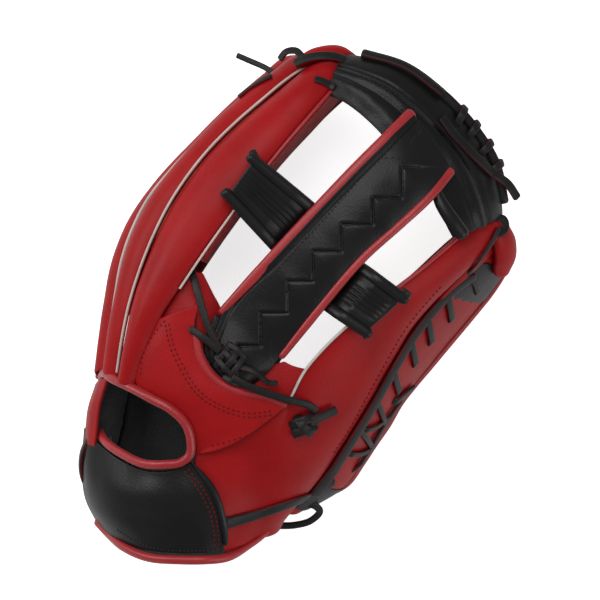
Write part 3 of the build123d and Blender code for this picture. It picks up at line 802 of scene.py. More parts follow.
# %% The heel and the thumb's back, in one piece
HEEL_LEFT = evened(at(
    (-46.5, -151.5, 73), (-48, -134, 80.4), (-54.5, -113, 85), (-68.5, -94, 86),
    (-37, -77, 92), (-9, -60, 95.5),
), WEB_START + 1)
TIP_SHARE = 0.2
ROWS_PER_STATION = 7
THUMB_ROWS = THUMB_STATIONS * ROWS_PER_STATION + 1
THUMB_COLUMNS = 31
HEEL_GRID_ROWS = WEB_START * ROWS_PER_STATION + 1
HEEL_COLUMNS = 27
SMOOTHINGS = 60


def over_tip(seam):
    """A thumb seam with one station more, drawn in over the tip."""
    ahead = unit(seam[-1] - seam[-2]) * TIP_WRAP * MM
    middle = (THUMB_PALM_CREST[-1] + THUMB_PALM_LIP[-1]) / 2
    return np.concatenate([seam, (seam[-1] + ahead + (middle - seam[-1]) * TIP_SHARE)[None]])


thumb_back = pillowed(over_tip(THUMB_LACED_SEAM), over_tip(THUMB_WEB_SEAM), 6.0, THUMB_ROWS,
                      THUMB_COLUMNS, inset=1.4, drop=0.6, power=0.8)
heel_part = pillowed(thumb_back[:HEEL_GRID_ROWS, -1], HEEL_LEFT, 1.5, HEEL_GRID_ROWS,
                     HEEL_COLUMNS, inset=0.0, drop=0.0, power=1.0)
whole = np.concatenate([thumb_back[:HEEL_GRID_ROWS], heel_part[:, 1:]], axis=1)
across = np.linspace(0, 1, whole.shape[1])[:, None]
whole[0] += np.array((0.6, -3.4, -2.6)) * np.sin(np.pi * across) ** 0.7 * MM
fade = (1 - np.linspace(0, 1, HEEL_GRID_ROWS) ** 3)[:, None, None]
for _ in range(SMOOTHINGS):
    pull = (whole[:, :-2] + whole[:, 2:]) / 2 - whole[:, 1:-1]
    whole[:, 1:-1] += pull * 0.5 * fade
thumb_back = used(np.concatenate([whole[:, :THUMB_COLUMNS], thumb_back[HEEL_GRID_ROWS:]]),
                  0.5, 38.0, 21.0)
heel_part = used(whole[:, THUMB_COLUMNS - 1:], 0.4, 38.0, 21.0)
points = np.concatenate([thumb_back.reshape(-1, 3), heel_part[:, 1:].reshape(-1, 3)])
columns = HEEL_COLUMNS - 1
heel_first = THUMB_ROWS * THUMB_COLUMNS
faces = grid_faces(THUMB_ROWS, THUMB_COLUMNS)
faces += grid_faces(HEEL_GRID_ROWS, columns, heel_first)
for r in range(HEEL_GRID_ROWS - 1):
    low, edge = heel_first + r * columns, (r + 1) * THUMB_COLUMNS - 1
    faces.append((edge, edge + THUMB_COLUMNS, low + columns, low))
BEND = fold_zone((-44, -103, 60), (-14, -110, 60))
settle(hide("thumb_and_heel_back", points, faces, 2.4, RED), "thumb",
       ["thumb_back_shell", "heel_back_shell"], BEND)
print("thumb and heel", len(points), "points")

# %% The thumb's outer wall, with its black patches
WALL_COLUMNS = 27
PATCH_ROWS = (81, 96)
HEEL_PATCH_ROWS = (3, 15)
wall = pillowed(over_tip(THUMB_LIP_SEAM), over_tip(THUMB_LACED_SEAM), 4.0, THUMB_ROWS,
                WALL_COLUMNS, inset=1.4, drop=0.4, power=0.8)
wall = used(wall, 0.4, 34.0, 31.0)
skin("thumb_wall", wall, 2.4, RED, "thumb", ["thumb_outer_wall"])
slant = np.round(9 * (0.5 - np.linspace(0, 1, WALL_COLUMNS))).astype(int)
patch = wall[np.arange(*PATCH_ROWS)[:, None] + slant, np.arange(WALL_COLUMNS)]
skin("thumb_patch", raised(patch[:, 1:], 0.8 * MM), 1.2, BLACK, "thumb")
skin("heel_patch", raised(wall[slice(*HEEL_PATCH_ROWS), 6:], 0.8 * MM), 1.2, BLACK, "thumb")
skin("heel_fold", refined(at(
    ((3, -121, 8), (-6, -128, 8.5), (-14, -134, 9.5)),
    ((-2, -123, 22), (-10, -129.5, 25), (-17, -136, 28)),
    ((-8, -127, 35), (-12, -132.5, 41), (-18, -137.5, 47)),
    ((-11, -128, 42), (-15, -133, 49), (-20, -138, 54)),
), 36, 26), 2.4, BLACK, "thumb")
print("thumb wall", wall.shape)

# %% The thumb's pipings and its laced band
web_up = outward(np.stack([THUMB_LACED_SEAM, THUMB_WEB_SEAM], axis=1))[:, 1]
band("thumb_web_piping", THUMB_WEB_SEAM[WEB_START:10], web_up[WEB_START:10], oval(1.8, 1.8),
     PIPING, "thumb", ["thumb_web_welt"])
band("thumb_web_roll", THUMB_WEB_SEAM[9:], web_up[9:], oval(2.4, 2.4), RED_ROLL, "thumb")
lip_up = outward(np.stack([THUMB_LIP_SEAM, THUMB_LACED_SEAM], axis=1))[:, 0]
band("thumb_lip_roll", THUMB_LIP_SEAM, lip_up, oval(4.6, 4.6), RED_ROLL, "thumb",
     ["thumb_lip_binding"])
BAND_PATH = [(8, -117), (22, -98), (31, -83), (41, -67), (54.5, -43), (67, -22), (80, -5),
             (92, 7), (104, 15)]
THUMB_SKINS = "thumb_and_heel_back thumb_wall"
places, tops = laid(THUMB_SKINS, BAND_PATH, 1.5, 16)
band("thumb_band", places, tops, oval(7.6, 2.6, 16, 0.7), BLACK_ROLL, "thumb",
     ["thumb_edge_band"], LACE_EDGE, widths=(1.2, 1.1, 1.0, 1.0, 1.0, 1.0, 1.0, 0.8))
tip_up = unit(lip_up[10:] + web_up[10:])
band("thumb_tip_roll", THUMB_LACED_SEAM[10:] + tip_up * 0.3 * MM, tip_up, oval(7.0, 3.6), RED,
     "thumb", widths=(0.3, 0.8, 1, 1, 0.8))
band("thumb_tip_cap", at((109, 48.5, 65), (116.5, 44.5, 65), (121.8, 36.5, 60.5),
                         (123.6, 27.5, 53), (121, 17, 42)), (0.5, 0.25, 0.83), oval(19, 10), RED,
     "thumb", widths=(0.4, 0.85, 1, 0.95, 0.6))
print("thumb trims")

# %% [markdown]
# ## The palm
# The palm is the thick leather that takes the ball. It shows from below and through the
# web's windows, so it gets the same treatment as the back. At the crotch it rises to the web
# on both sides of the post.

# %% Palm leathers
def palm_grid():
    """The palm leather's upper face for the finger half, heel to fingertips."""
    fronts = FINGER_SEAMS + WAYS_IN * (STALL_DEPTH + 0.8) * MM
    rows = []
    for station in range(2, fronts.shape[1]):
        front = fronts[:, station]
        rows.append(np.array([front[0], (front[0] + front[1]) / 2, *front[1:]]))
    beyond = rows[-1] + unit(rows[-1] - rows[-2]) * 2 * TIP_WRAP * MM
    heel = evened(np.array([*HEEL_ROWS, rows[0]]), 9)
    lip = heel[0] + mm(0, -3.4, -0.6)
    return refined(np.array([lip, *heel[:-1], *rows, beyond]), 112, 44)


def stretched(first, second, columns):
    """A flat sheet between two of the thumb's lines, and each column's share of the way."""
    ends = refined(np.stack([first, second], axis=1), 90, 2)
    share = np.linspace(0, 1, columns)[None, :, None]
    return between(ends[:, :1], ends[:, 1:], share), share


palm = palm_grid()
skin("palm_fingers", palm, 3.0, PALM, "root", ["palm_shell_fingers"])
thumb_palm, share = stretched(THUMB_PALM_LIP, THUMB_PALM_CREST, 31)
crown = 6.0 * np.sin(np.pi * np.linspace(0, 1, 90))[:, None, None]
skin("palm_thumb", raised(thumb_palm, crown * 4 * share * (1 - share) * MM), 3.0, PALM, "thumb",
     ["palm_shell_thumb"])
under, share = stretched(THUMB_LIP_SEAM, THUMB_PALM_LIP, 13)
skin("thumb_underside", raised(under, -1.5 * np.sin(np.pi * share) * MM), 2.4, PALM, "thumb")
skin("thumb_tip_end", refined(at(
    ((107, 45, 62), (114.5, 48.5, 65), (121.5, 44.5, 61), (126.5, 34.5, 54)),
    ((110, 39, 42), (119, 42, 43), (125.5, 37, 42), (128.4, 29, 38)),
    ((116, 30, 19), (121, 31.5, 17), (125.6, 31, 16.5), (128, 27, 17)),
), 30, 30), 2.4, RED, "thumb")
print("palms", palm.shape, thumb_palm.shape)

# %% The palm's edge under the little finger
skin("palm_margin", refined(at(
    ((-106, -143, 6), (-113, -138.5, 6.5), (-119.5, -132.5, 8)),
    ((-108, -124, 8), (-116, -122, 7.5), (-124, -120.5, 9)),
    ((-112, -106, 9), (-118, -106, 8.5), (-126, -106, 10)),
    ((-112, -84, 9.5), (-119, -84, 9), (-125.5, -84, 10.5)),
    ((-110, -66, 12), (-117, -66, 10.5), (-123.5, -65, 11.5)),
), 60, 20), 2.2, PALM, "root")
skin("heel_lining_outer", refined(at(
    ((-112, -135.5, 15), (-116, -133.5, 11.5), (-119.4, -132.5, 18), (-119.8, -133, 29)),
    ((-119.5, -107, 15.5), (-122.5, -108, 12.5), (-125.6, -109.5, 20), (-125.8, -111, 33)),
    ((-119, -77, 15.5), (-122, -81, 12.5), (-126.4, -86, 20), (-126.8, -87, 34)),
    ((-106, -47, 18), (-113, -51, 14), (-119.6, -55, 20), (-120, -56, 33)),
), 70, 24), 1.2, BLACK, "root")
skin("palm_corner", refined(at(
    ((-123, -86, 9.5), (-118, -87, 8.5), (-112, -88, 10)),
    ((-122.5, -65, 10.5), (-114, -66, 10), (-106, -67, 15)),
    ((-118, -54, 12), (-110, -54, 11), (-101, -55, 17)),
    ((-116.5, -43, 13), (-109, -42, 11), (-100, -42, 17)),
    ((-112, -30, 10), (-107, -30, 9), (-100, -30, 12)),
), 40, 18), 2.4, PALM, "root")
print("palm edge")

# %% The palm's rises to the web
CROTCH_BEND = fold_zone((-20, -50, 96), (1, -53, 96))
skin("palm_rise_thumb_side", refined(at(
    ((-8, -63.5, 95.5), (-20, -60, 95.5), (-38, -54, 95.5)),
    ((-2.5, -52, 97.4), (-13, -48, 96.5), (-30, -43, 94.5)),
    ((3.2, -41, 98.2), (-3, -39.5, 97.8), (-9.5, -36.5, 97)),
), 24, 20), 2.4, RED, "thumb", bend=CROTCH_BEND)
skin("palm_rise_index_side", refined(at(
    ((-52, -38, 94), (-58, -35, 97), (-70, -28, 98)),
    ((-45.5, -9, 94), (-60, -12, 99), (-88, -16, 93)),
    ((-52, 5, 95), (-66, 4, 97), (-80, 0, 94)),
    ((-57.5, 16, 96), (-62, 17, 97), (-68, 16, 96)),
), 24, 20), 2.4, RED, "root")
print("palm rises")

# %% The lining at the heel, and the crease
skin("heel_lining_edge", refined(np.array([
    HEEL_ROWS[0] + mm(0, -2.2, 7.0), HEEL_ROWS[0] + mm(0, -4.4, 4.2), HEEL_EDGE + mm(0, 1.2, 2.2),
]), 12, 70), 1.4, BLACK, "root")
side_line = np.array([HEEL_ROWS[0, 0] - mm(-0.6, 3.2, 0), *HEEL_ROWS[:3, 0]])
side_steps = mm((-4.5, 0.4, 8.4), (-1.0, 0, 7.9), (2.2, -0.6, 6.0), (2.6, -0.6, 0.2))
skin("heel_lining_side", refined(side_line[:, None] + side_steps, 60, 12), 1.4, BLACK, "root")
PALM_BEND = fold_zone((-26.7, -112, 28), (-14.6, -115, 28))
skin("palm_crease", refined(at(
    ((-38, -149.5, 9.5), (-28.5, -143, 10), (-18, -137, 12)),
    ((-28, -112, 27), (-20, -112.5, 28.5), (-12.5, -112, 28)),
    ((-18, -76, 45), (-11, -76, 46.5), (-5, -75, 47)),
), 50, 14), 2.6, PALM, "thumb", bend=PALM_BEND)
heel_rows_in = np.concatenate([(HEEL_ROWS[0] - mm(0, 3, 0))[None], HEEL_ROWS])
lining = used(raised(refined(heel_rows_in, 74, 70), 6.4 * MM), 0.8, 5.0, 111.0)
skin("heel_lining", lining, 1.0, FLEECE, "root", smooth=False)
print("linings", lining.shape)

# %% [markdown]
# ## Wrist, strap and rims
# The strap is a stiff black leather with fleece behind it. Its cut edge and the window are
# bound with a strip of red leather, rolled over the edge and stitched through.

# %% The strap, its fleece and the heel's side
STRAP_FLARE = np.swapaxes(at(
    ((-105, -147.5, 54), (-115, -130, 56.5), (-120, -111, 56.5), (-119, -88, 53)),
    ((-116.5, -140.5, 41), (-125.5, -123.5, 42), (-129.5, -103, 42.5), (-127.5, -80, 42)),
    ((-122.5, -136, 29), (-130.5, -119, 29), (-132, -99, 30), (-131, -77, 31)),
), 0, 1)
strap = refined(np.concatenate([STRAP_ROWS[:, :4], STRAP_FLARE], axis=1), 60, 90)
skin("strap", used(strap, 0.35, 36.0, 41.0), 3.0, BLACK, "root", ["wrist_strap"])
fleece = used(raised(refined(STRAP_ROWS, 90, 120), -3.9 * MM), 1.1, 5.0, 51.0)
skin("strap_fleece_pad", fleece, 3.4, FLEECE, "root", ["strap_fleece"], smooth=False)
pinky_rows = np.concatenate([
    PINKY_HEEL, at((-119.5, -46, 36), (-118.5, -45.5, 22), (-113, -45, 10))[None],
])
skin("pinky_heel", used(refined(pinky_rows, 56, 26), 0.3, 30.0, 61.0), 2.4, RED, "root",
     ["pinky_heel_shell"])
skin("window_side", refined(at(
    ((-125, -100, 42), (-129, -100, 36), (-131, -100, 29)),
    ((-123, -82, 52), (-127.5, -83, 45), (-130, -85, 35)),
    ((-120.5, -62, 58), (-125.5, -64, 50), (-128.5, -66, 38)),
    ((-115.5, -46, 64), (-120, -47, 54), (-123.5, -50, 38)),
), 40, 14), 2.4, RED, "root")
inside = refined(at(
    ((-127, -100, 36), (-121, -99, 31), (-115, -97, 22)),
    ((-125, -82, 45), (-118, -81, 38), (-110, -80, 26)),
    ((-122, -62, 51), (-114, -61, 45), (-106, -60, 34)),
    ((-117.5, -45, 57), (-110, -45, 52), (-102, -45, 42)),
), 40, 24)
skin("window_lining", used(inside, 0.6, 6.0, 121.0), 1.6, FLEECE, "root", smooth=False)
print("strap", strap.shape)

# %% The rolled bindings
ROLL = oval(5.6, 5.2, 14, 0.9)
WINDOW_CORNER = at((-72, -97.2, 88.3), (-66, -93, 89.5))
window_ring = np.concatenate([WINDOW_LOWER[:0:-1], WINDOW_CORNER, WINDOW_UPPER[1:]])
ring_up = unit(window_ring - at((-92, -78, 20))[0])
band("window_roll", window_ring, ring_up, ROLL, RED_ROLL, "root",
     ["window_upper_binding", "window_lower_binding"])
wrist_line = np.concatenate([WRIST_EDGE, at((-122.5, -134, 30))])
band("wrist_roll", wrist_line, (-0.2, -0.5, 0.85), ROLL, RED_ROLL, "root", ["wrist_binding"],
     widths=(0.5, 0.7, 0.9, 1, 1, 1, 1, 1))
band("heel_roll", HEEL_EDGE + mm(0, 1.8, 0.4), (0, -0.5, 0.85), ROLL, RED_ROLL, "root",
     ["heel_binding"])
band("crease_roll", at((-37, -150.4, 8.6), (-28.5, -143.6, 9), (-20.5, -135.6, 9.4),
                       (-15, -130.6, 9.2), (-8, -127, 8.6)), (0.45, -0.6, 0.65), ROLL, RED_ROLL,
     "thumb", bend=PALM_BEND)
band("crotch_roll", CROTCH_RIM[:6], (0.5, 0.4, 0.8), ROLL, RED_ROLL, "root",
     ["crotch_binding"], widths=(0.5, 0.9, 1, 1, 1, 0.8))
strap_edge = evened(STRAP_ROWS[:, 0], 12) + mm(0.6, 0, 0.5)
band("strap_edge_roll", strap_edge[1:], (0.3, 0, 0.95), oval(4.2, 3.2, 14, 0.8), BLACK_ROLL,
     "root", widths=(0.7, 1, 1, 1, 1, 0.8, 0.3))
print("bindings")

# %% [markdown]
# ## The web
# An H web: a post of woven straps between two red bindings, two laced bars that tie it to
# the index finger and the thumb, an arch over the top, and a tab at the crotch. The weave is
# pressed into the surface itself, because flat leather with painted lines looks printed.

# %% The post and its woven straps
def swell(away, width, power=2):
    """A soft ridge: one at its middle and gone a few widths away from it."""
    return np.exp(-((away / width) ** power))


def step_distance(points):
    """For each X and Y, how far the nearest weave line is, and on which side it lies."""
    nearest = np.full(len(points), 1.0)
    side = np.zeros(len(points))
    for start, end in zip(WEAVE_STEPS[:-1], WEAVE_STEPS[1:]):
        run = end - start
        share = np.clip(((points - start) @ run) / (run @ run), 0, 1)
        away = points - (start + share[:, None] * run)
        distance = np.linalg.norm(away, axis=1)
        cross = run[0] * away[:, 1] - run[1] * away[:, 0]
        closer = distance < nearest
        nearest[closer] = distance[closer]
        side[closer] = np.sign(cross)[closer]
    return nearest, side


right = np.concatenate([BASE_RIGHT[:2], POST_RIGHT])
left = np.concatenate([BASE_LEFT[:2], POST_LEFT])
post = pillowed(right, left, 3.6, 250, 84, inset=4.0, drop=0.0, power=0.9)
distance, side = step_distance(post[..., :2].reshape(-1, 2))
distance = distance.reshape(post.shape[:2])[..., None] / MM
side = side.reshape(post.shape[:2])[..., None]
weave = 0.7 * side * np.exp(-distance / 4.0) - 1.1 * swell(distance, 0.8)
across = np.linspace(0, 1, post.shape[1])[None, :, None]
ridge = 1.4 * swell(across - 0.9, 0.06) - 0.8 * swell(across - 0.8, 0.015)
woven = used(raised(post, (1.6 + weave + ridge) * MM), 0.3, 22.0, 71.0)
skin("web_weave", woven, 1.8, BLACK, "web", ["web_woven_cover"])
skin("web_post_leather", raised(post, -0.8 * MM)[30::3, ::3], 3.0, BLACK, "web", ["web_post"])
base = refined(np.stack([BASE_RIGHT, (BASE_RIGHT + BASE_LEFT) / 2, BASE_LEFT], axis=1), 30, 40)
skin("web_base_tab", raised(base, -1.6 * MM), 2.6, BLACK, "web", ["web_base"])
print("weave", woven.shape)

# %% The post's red bindings
across_post = unit(POST_LEFT - POST_RIGHT) * MM
band("post_roll_thumb_side", POST_RIGHT + across_post * 2.4 + mm(0, 0, 0.6), (0, 0, 1),
     oval(5.2, 5.0, 16, 0.85), RED_ROLL, "web", ["web_post_binding_thumb_side"],
     widths=(0.8, 1, 1, 1, 1, 1.1, 1.2))
band("post_roll_index_side", POST_LEFT - across_post * 2.4 + mm(0, 0, 0.6), (0, 0, 1),
     oval(7.4, 5.4, 16, 0.85), RED_ROLL, "web", ["web_post_binding_index_side"],
     widths=(0.6, 0.9, 1, 1, 1, 1, 1))
print("post bindings")

# %% The arch over the top
rim = np.concatenate([at((121.5, 51, 68)), ARCH_RIM, at((27, 148, 73.5))])
inner = np.concatenate([at((91.5, 37, 99)), ARCH_INNER, at((16, 122.5, 91))])
arch_grid = pillowed(rim, inner, 4.0, 130, 56, inset=0.0, drop=0.6, power=0.8)
across = np.linspace(0, 1, 56)[None, :, None]
along = np.linspace(0, 1, 130)[:, None, None]
tucks = (1.2 * swell(across - 0.5, 0.05) - 1.1 * swell(across - 0.42, 0.02)
         - 0.8 * swell(across - 0.58, 0.02))
folds = 1.4 * swell(across - 0.86 + 0.25 * along, 0.09)
arch_grid = used(raised(arch_grid, (tucks + folds) * MM), 0.7, 24.0, 81.0)
skin("web_arch", arch_grid, 3.0, BLACK, "web", ["web_top_arch"])
rim_out = unit(ARCH_RIM - ARCH_INNER) * MM
band("web_rim_roll", ARCH_RIM + rim_out * 1.6, (0, 0, 1), oval(6.4, 4.6, 14, 0.8), BLACK_ROLL,
     "web", ["web_rim_binding"], LACE_EDGE)
leg = at((80, 67, 100), (84, 57.5, 103.5), (90, 48, 104), (97, 38.5, 101))
band("web_arch_leg", leg, (0.3, 0, 1), oval(9.5, 8.0, 16, 0.9), BLACK_ROLL, "web",
     widths=(0.6, 0.9, 1, 0.95))
print("arch")

# %% The two laced bars
BAR_ROWS = 60
BAR_RIDGES = (0.37, 0.455, 0.54, 0.625)
BAR_ROLL = oval(7.4, 6.0, 16, 0.9)


def bar(name, right, left, low, high, middle, dip, node):
    """A folded leather sleeve with four pressed ridges, its ends under the post's binding."""
    share = np.linspace(low, high, 70)[None, :, None]
    flat = between(evened(right, BAR_ROWS)[:, None], evened(left, BAR_ROWS)[:, None], share)
    up = np.linspace(0, 1, BAR_ROWS)[:, None, None]
    panel = swell(share - middle, 0.47, 8) * swell(up - 0.5, 0.2, 8)
    pressed = sum(swell(up - place, 0.018) for place in BAR_RIDGES)
    shaped = raised(flat, panel * (1.1 * pressed - 0.9) * MM) - mm(0, 0, 1) * dip(share)
    skin(name, used(shaped, 0.35, 16.0, 101.0), 4.4, BLACK, "web", [node])
    return shaped


def bar_rolls(name, shaped, reach):
    """The two stuffed rolls along a bar's long sides, running past its end as ears."""
    for side, row in (("low", 5), ("high", 54)):
        line = evened(shaped[row], 20)
        start = line[0] + unit(line[0] - line[1]) * reach[0] * MM
        end = line[-1] + unit(line[-1] - line[-2]) * reach[1] * MM
        line = np.concatenate([start[None], line, end[None]]) - mm(0, 0, 0.5)
        band(name + "_roll_" + side, line, (0, 0, 1), BAR_ROLL, BLACK_ROLL, "web",
             widths=(0.85, 1, 1, 1, 1, 0.95, 0.85))


index_bar = bar("index_bar", INDEX_BAR_RIGHT, INDEX_BAR_LEFT, -0.2, 1.0, 0.44,
                lambda share: 8.5 * np.clip((0.32 - share) / 0.4, 0, 1) ** 1.5, "web_index_bar")
bar_rolls("index_bar", index_bar, (0, 3.2))
thumb_bar = bar("thumb_bar", THUMB_BAR_RIGHT, THUMB_BAR_LEFT, 0.0, 1.5, 0.62,
                lambda share: 11.0 * np.clip((share - 0.7) / 0.6, 0, 1) ** 1.5, "web_thumb_bar")
bar_rolls("thumb_bar", thumb_bar, (2.4, 0))
print("bars")

# %% [markdown]
# ## Laces
# Every lace is the same rawhide strip, flat on top, with its raw red-brown underside showing
# at the edges where it twists. A knot is the same strip wound over and under itself.

# %% Runs of lace and knots
THIN_LACE = oval(3.6, 1.8, 14, 0.55)
WIDE_LACE = oval(5.6, 2.4, 14, 0.55)
HEEL_LACE = oval(7.0, 2.6, 14, 0.6)
LACE_STEP = 1.2


def run(line, up=(0, 0, 1), outline=FLAT_LACE):
    """One run of lace along a line."""
    return swept(line, up, outline, step=LACE_STEP)


def arc(start, end, rise, outline=THIN_LACE, sideways=0.0):
    """A short lace that comes up, crosses over and goes down again, in millimetres."""
    start, end = at(start, end)
    side = np.cross(unit(end - start), (0, 0, 1)) * sideways * MM
    share = np.linspace(0, 1, 7)[:, None]
    over = np.sin(np.pi * share) * (mm(0, 0, rise) + side)
    return run(between(start, end, share) + over, outline=outline)


def draped(surfaces, points, lift, count, outline=FLAT_LACE):
    """A run of lace that lies on the skins."""
    return run(*laid(surfaces, points, lift, count), outline)


def lacing(name, body, node, runs, bend=None):
    """One laced piece from its runs."""
    joined(name, runs, LACE, body, [node], LACE_EDGE, bend)


print("lace outlines ready")

# %% The laces at the crotch
lacing("crotch_lacing", "web", "crotch_lace", [
    *(arc(start, end, rise, sideways=bow) for start, end, rise, bow in (
        ((-47, -27, 103.5), (-37, -38, 105.5), 3.2, 1), ((-50, -33, 104), (-39, -45, 105), 2.4, 1),
        ((-43, -26, 104), (-33, -35, 104.5), 2.2, -1), ((-36, -28, 104), (-46, -42, 105), 3.6, -1),
        ((-40, -26, 103.5), (-50, -40, 104), 2.0, 1), ((-32, -33, 104), (-42, -49, 104.5), 3.0, 1),
        ((-45, -45, 104.5), (-36, -50, 104), 2.2, 1),
    )),
    run(at((-65, 19, 95), (-62, 9, 102), (-58, -5, 105.5), (-52, -22, 107), (-48, -30, 106.5)),
        (-0.3, 0.1, 0.9)),
    run(at((-65, -17, 106.5), (-59, -21, 108), (-53, -25.5, 107.5), (-48, -30, 106.5))),
    run(at((-35, -40, 106), (-29, -41.5, 107.5), (-24, -44.5, 107.5), (-19, -49, 105.5),
           (-13.5, -49.5, 104.5)), (0.2, 0.3, 0.9), THIN_LACE),
])
lacing("thumb_crotch_lacing", "thumb", "thumb_crotch_lace", [
    run(at((-40, -46, 107), (-33, -50, 107), (-19, -55.5, 104.8), (-6, -59.5, 101.8),
           (6, -63, 97.4), (10, -66, 94.5)), (0.15, -0.2, 0.95)),
    arc((-5.5, -75, 91.5), (9, -69, 92.5), 4.0, WIDE_LACE),
    arc((-2, -69, 92), (7, -80, 90), 5.4, WIDE_LACE, 1),
    arc((-4, -80, 91), (10, -75, 91), 3.0, WIDE_LACE),
    run(at((6, -73.5, 94.5), (11, -70.5, 93.5), (16.5, -67.8, 91.4), (21.5, -65.5, 88.8)),
        (0.3, -0.2, 0.9), WIDE_LACE),
])
print("crotch laces")

# %% The laces that hold the bars
lacing("index_bar_lacing", "web", "index_bar_laces", [
    arc((-24.5, 81, 117), (-28.5, 88.2, 113.6), 1.2, FLAT_LACE),
    arc((-41.5, 60, 114.5), (-46, 63.6, 111.8), 1.2, FLAT_LACE),
])
lacing("thumb_bar_lacing", "web", "thumb_bar_laces", [
    arc((60.5, 5.5, 111), (64.8, 2.6, 108.5), 1.0, FLAT_LACE),
    arc((37.5, -17, 110.5), (39.8, -22.2, 108), 1.0, FLAT_LACE),
])
print("bar laces")

# %% The laces of the rim
edge = evened(ARCH_RIM + rim_out * 1.6, 80)


def rim_loop(x, y):
    """A loop over the rim, at the point of it nearest to a drawn one."""
    place = edge[np.argmin(np.linalg.norm(edge[:, :2] - at((x, y, 0))[0, :2], axis=1))]
    out = unit(place - at((40, 60, 80))[0]) * (1, 1, 0)
    way = np.cross(out, (0, 0, 1))
    line = [place - out * 7 * MM + way * 2.5 * MM + mm(0, 0, 4), place + mm(0, 0, 5),
            place + out * 4 * MM - way * 2 * MM, place - way * 3 * MM - mm(0, 0, 3.6)]
    return run(np.array(line), unit(np.array([(0, 0, 1), (0, 0, 1), out, out])))


tail, _ = laid("web_arch", [(84, 108), (90, 99.6), (98, 91), (107.4, 81.6), (114, 75.6)], 1.8, 14)
tail = np.concatenate([tail, at((124, 69.5, 80), (130, 61, 76.5))])
lacing("web_rim_lacing", "web", "web_rim_lace", [
    *(rim_loop(x, y) for x, y in ((96, 110), (102, 101), (109, 90), (115, 79))),
    run(evened(ARCH_RIM[3:] + rim_out[3:] * 2.2, 12) + mm(0, 0, 3), (0.3, 0.5, 0.8)),
    run(tail, (0.35, 0.3, 0.88), WIDE_LACE),
])
print("rim laces")

# %% The loops and crossings down the thumb's outer edge
loops = []
for outline, ways in (
    (FLAT_LACE, (((88, 2), (89.4, -5), (90.8, -12.5)), ((75.5, -10), (77, -17), (78.6, -26.5)),
                 ((65.5, -24), (67, -31), (69, -39.5)), ((54, -39), (56, -46), (59, -56)))),
    (WIDE_LACE, (((67, -52.5), (61, -57), (56, -61)),)),
    (THIN_LACE, (((101, 14), (104, 11), (106.5, 4)), ((44, -58), (48, -67), (51, -77)),
                 ((34, -76), (40, -84), (44, -92)), ((53, -70), (44, -76), (37, -78)),
                 ((44, -88), (36, -92), (28, -92)))),
    (WIDE_LACE, (((60, -60), (51, -73), (42, -88), (32, -104)),)),
):
    for way in ways:
        places, tops = laid(THUMB_SKINS, way, 1.7, 9)
        places[-1] -= tops[-1] * 2.2 * MM
        loops.append(run(places, tops, outline))
lacing("thumb_edge_lacing", "thumb", "thumb_edge_loops", [
    *loops,
    draped(THUMB_SKINS, [(90, 7), (97, 13), (106, 24), (113, 34), (118, 43)], 1.5, 14, THIN_LACE),
    run(at((112, 44, 71.5), (116.5, 49, 71.5), (122, 48.5, 70), (123, 43, 70), (119, 39.5, 72),
           (114, 40, 73)), (0.25, 0.15, 0.95)),
])
print("edge loops", len(loops))

# %% The laces at the heel and the wrist
lacing("heel_lacing", "thumb", "heel_lace", [
    draped(THUMB_SKINS, [(20, -109), (8, -116), (-8, -122), (-26, -128), (-44.5, -133)], 1.2, 14,
           HEEL_LACE),
    run(at((2, -123, 30), (9, -124.5, 28), (12, -128, 24), (7, -133.5, 21), (-3, -136.5, 19),
           (-13, -137, 17)), (0.3, -0.4, 0.8)),
], BEND)
lacing("wrist_lacing", "root", "wrist_lace", [
    run(at((-128, -84, 40), (-131.5, -92, 37), (-132.6, -100, 33), (-131.6, -108, 30),
           (-129, -114, 27)), (-1, 0, 0.2), WIDE_LACE),
])
print("heel and wrist laces")

# %% The laces at the fingertips
tips = FINGER_SEAMS[:, -1] + WAYS_ALONG[:, -1] * TIP_WRAP * MM
lacing("fingertip_lacing", "root", "fingertip_lace", [
    run(evened(tips + WAYS_IN[:, -1] * 21.6 * MM, 8), WAYS_ALONG[2, -1]),
    run(at((-3, 141.4, 80), (5, 144.6, 82.5), (14, 145.8, 83.5), (23, 145, 81.5), (29.5, 142, 78)),
        (0, 0.5, 0.85), WIDE_LACE),
    draped("index_back web_arch", [(9, 131), (14.5, 129.2), (20.5, 126)], 1.4, 8),
    draped("middle_back ring_back", [(-36, 121), (-30, 126), (-23, 130.5), (-17, 133.5)], 1.0, 10),
    run(at((-16, 137, 48), (-22, 140.5, 46), (-30, 144, 44.5), (-38, 147.5, 44)),
        outline=THIN_LACE),
    run(at((-12, 144, 72), (-8.5, 148.4, 74), (-2.5, 149, 76.5), (1, 145.6, 80)), (-0.3, 0.5, 0.8)),
])
band("index_tip_roll", at((-1, 141, 75), (7, 145.4, 75.5), (15, 147.4, 75), (23, 147.6, 73),
                          (32, 143.4, 69)), (0, 0.6, 0.8), oval(11, 9), RED, "root",
     widths=(0.5, 0.9, 1, 1, 0.6))
print("fingertip laces")

# %% [markdown]
# ## Stitching
# A lapped seam is held by one or two rows of thread a few millimetres in from the edge. Each
# stitch is modelled, because at this distance they catch the light one by one.

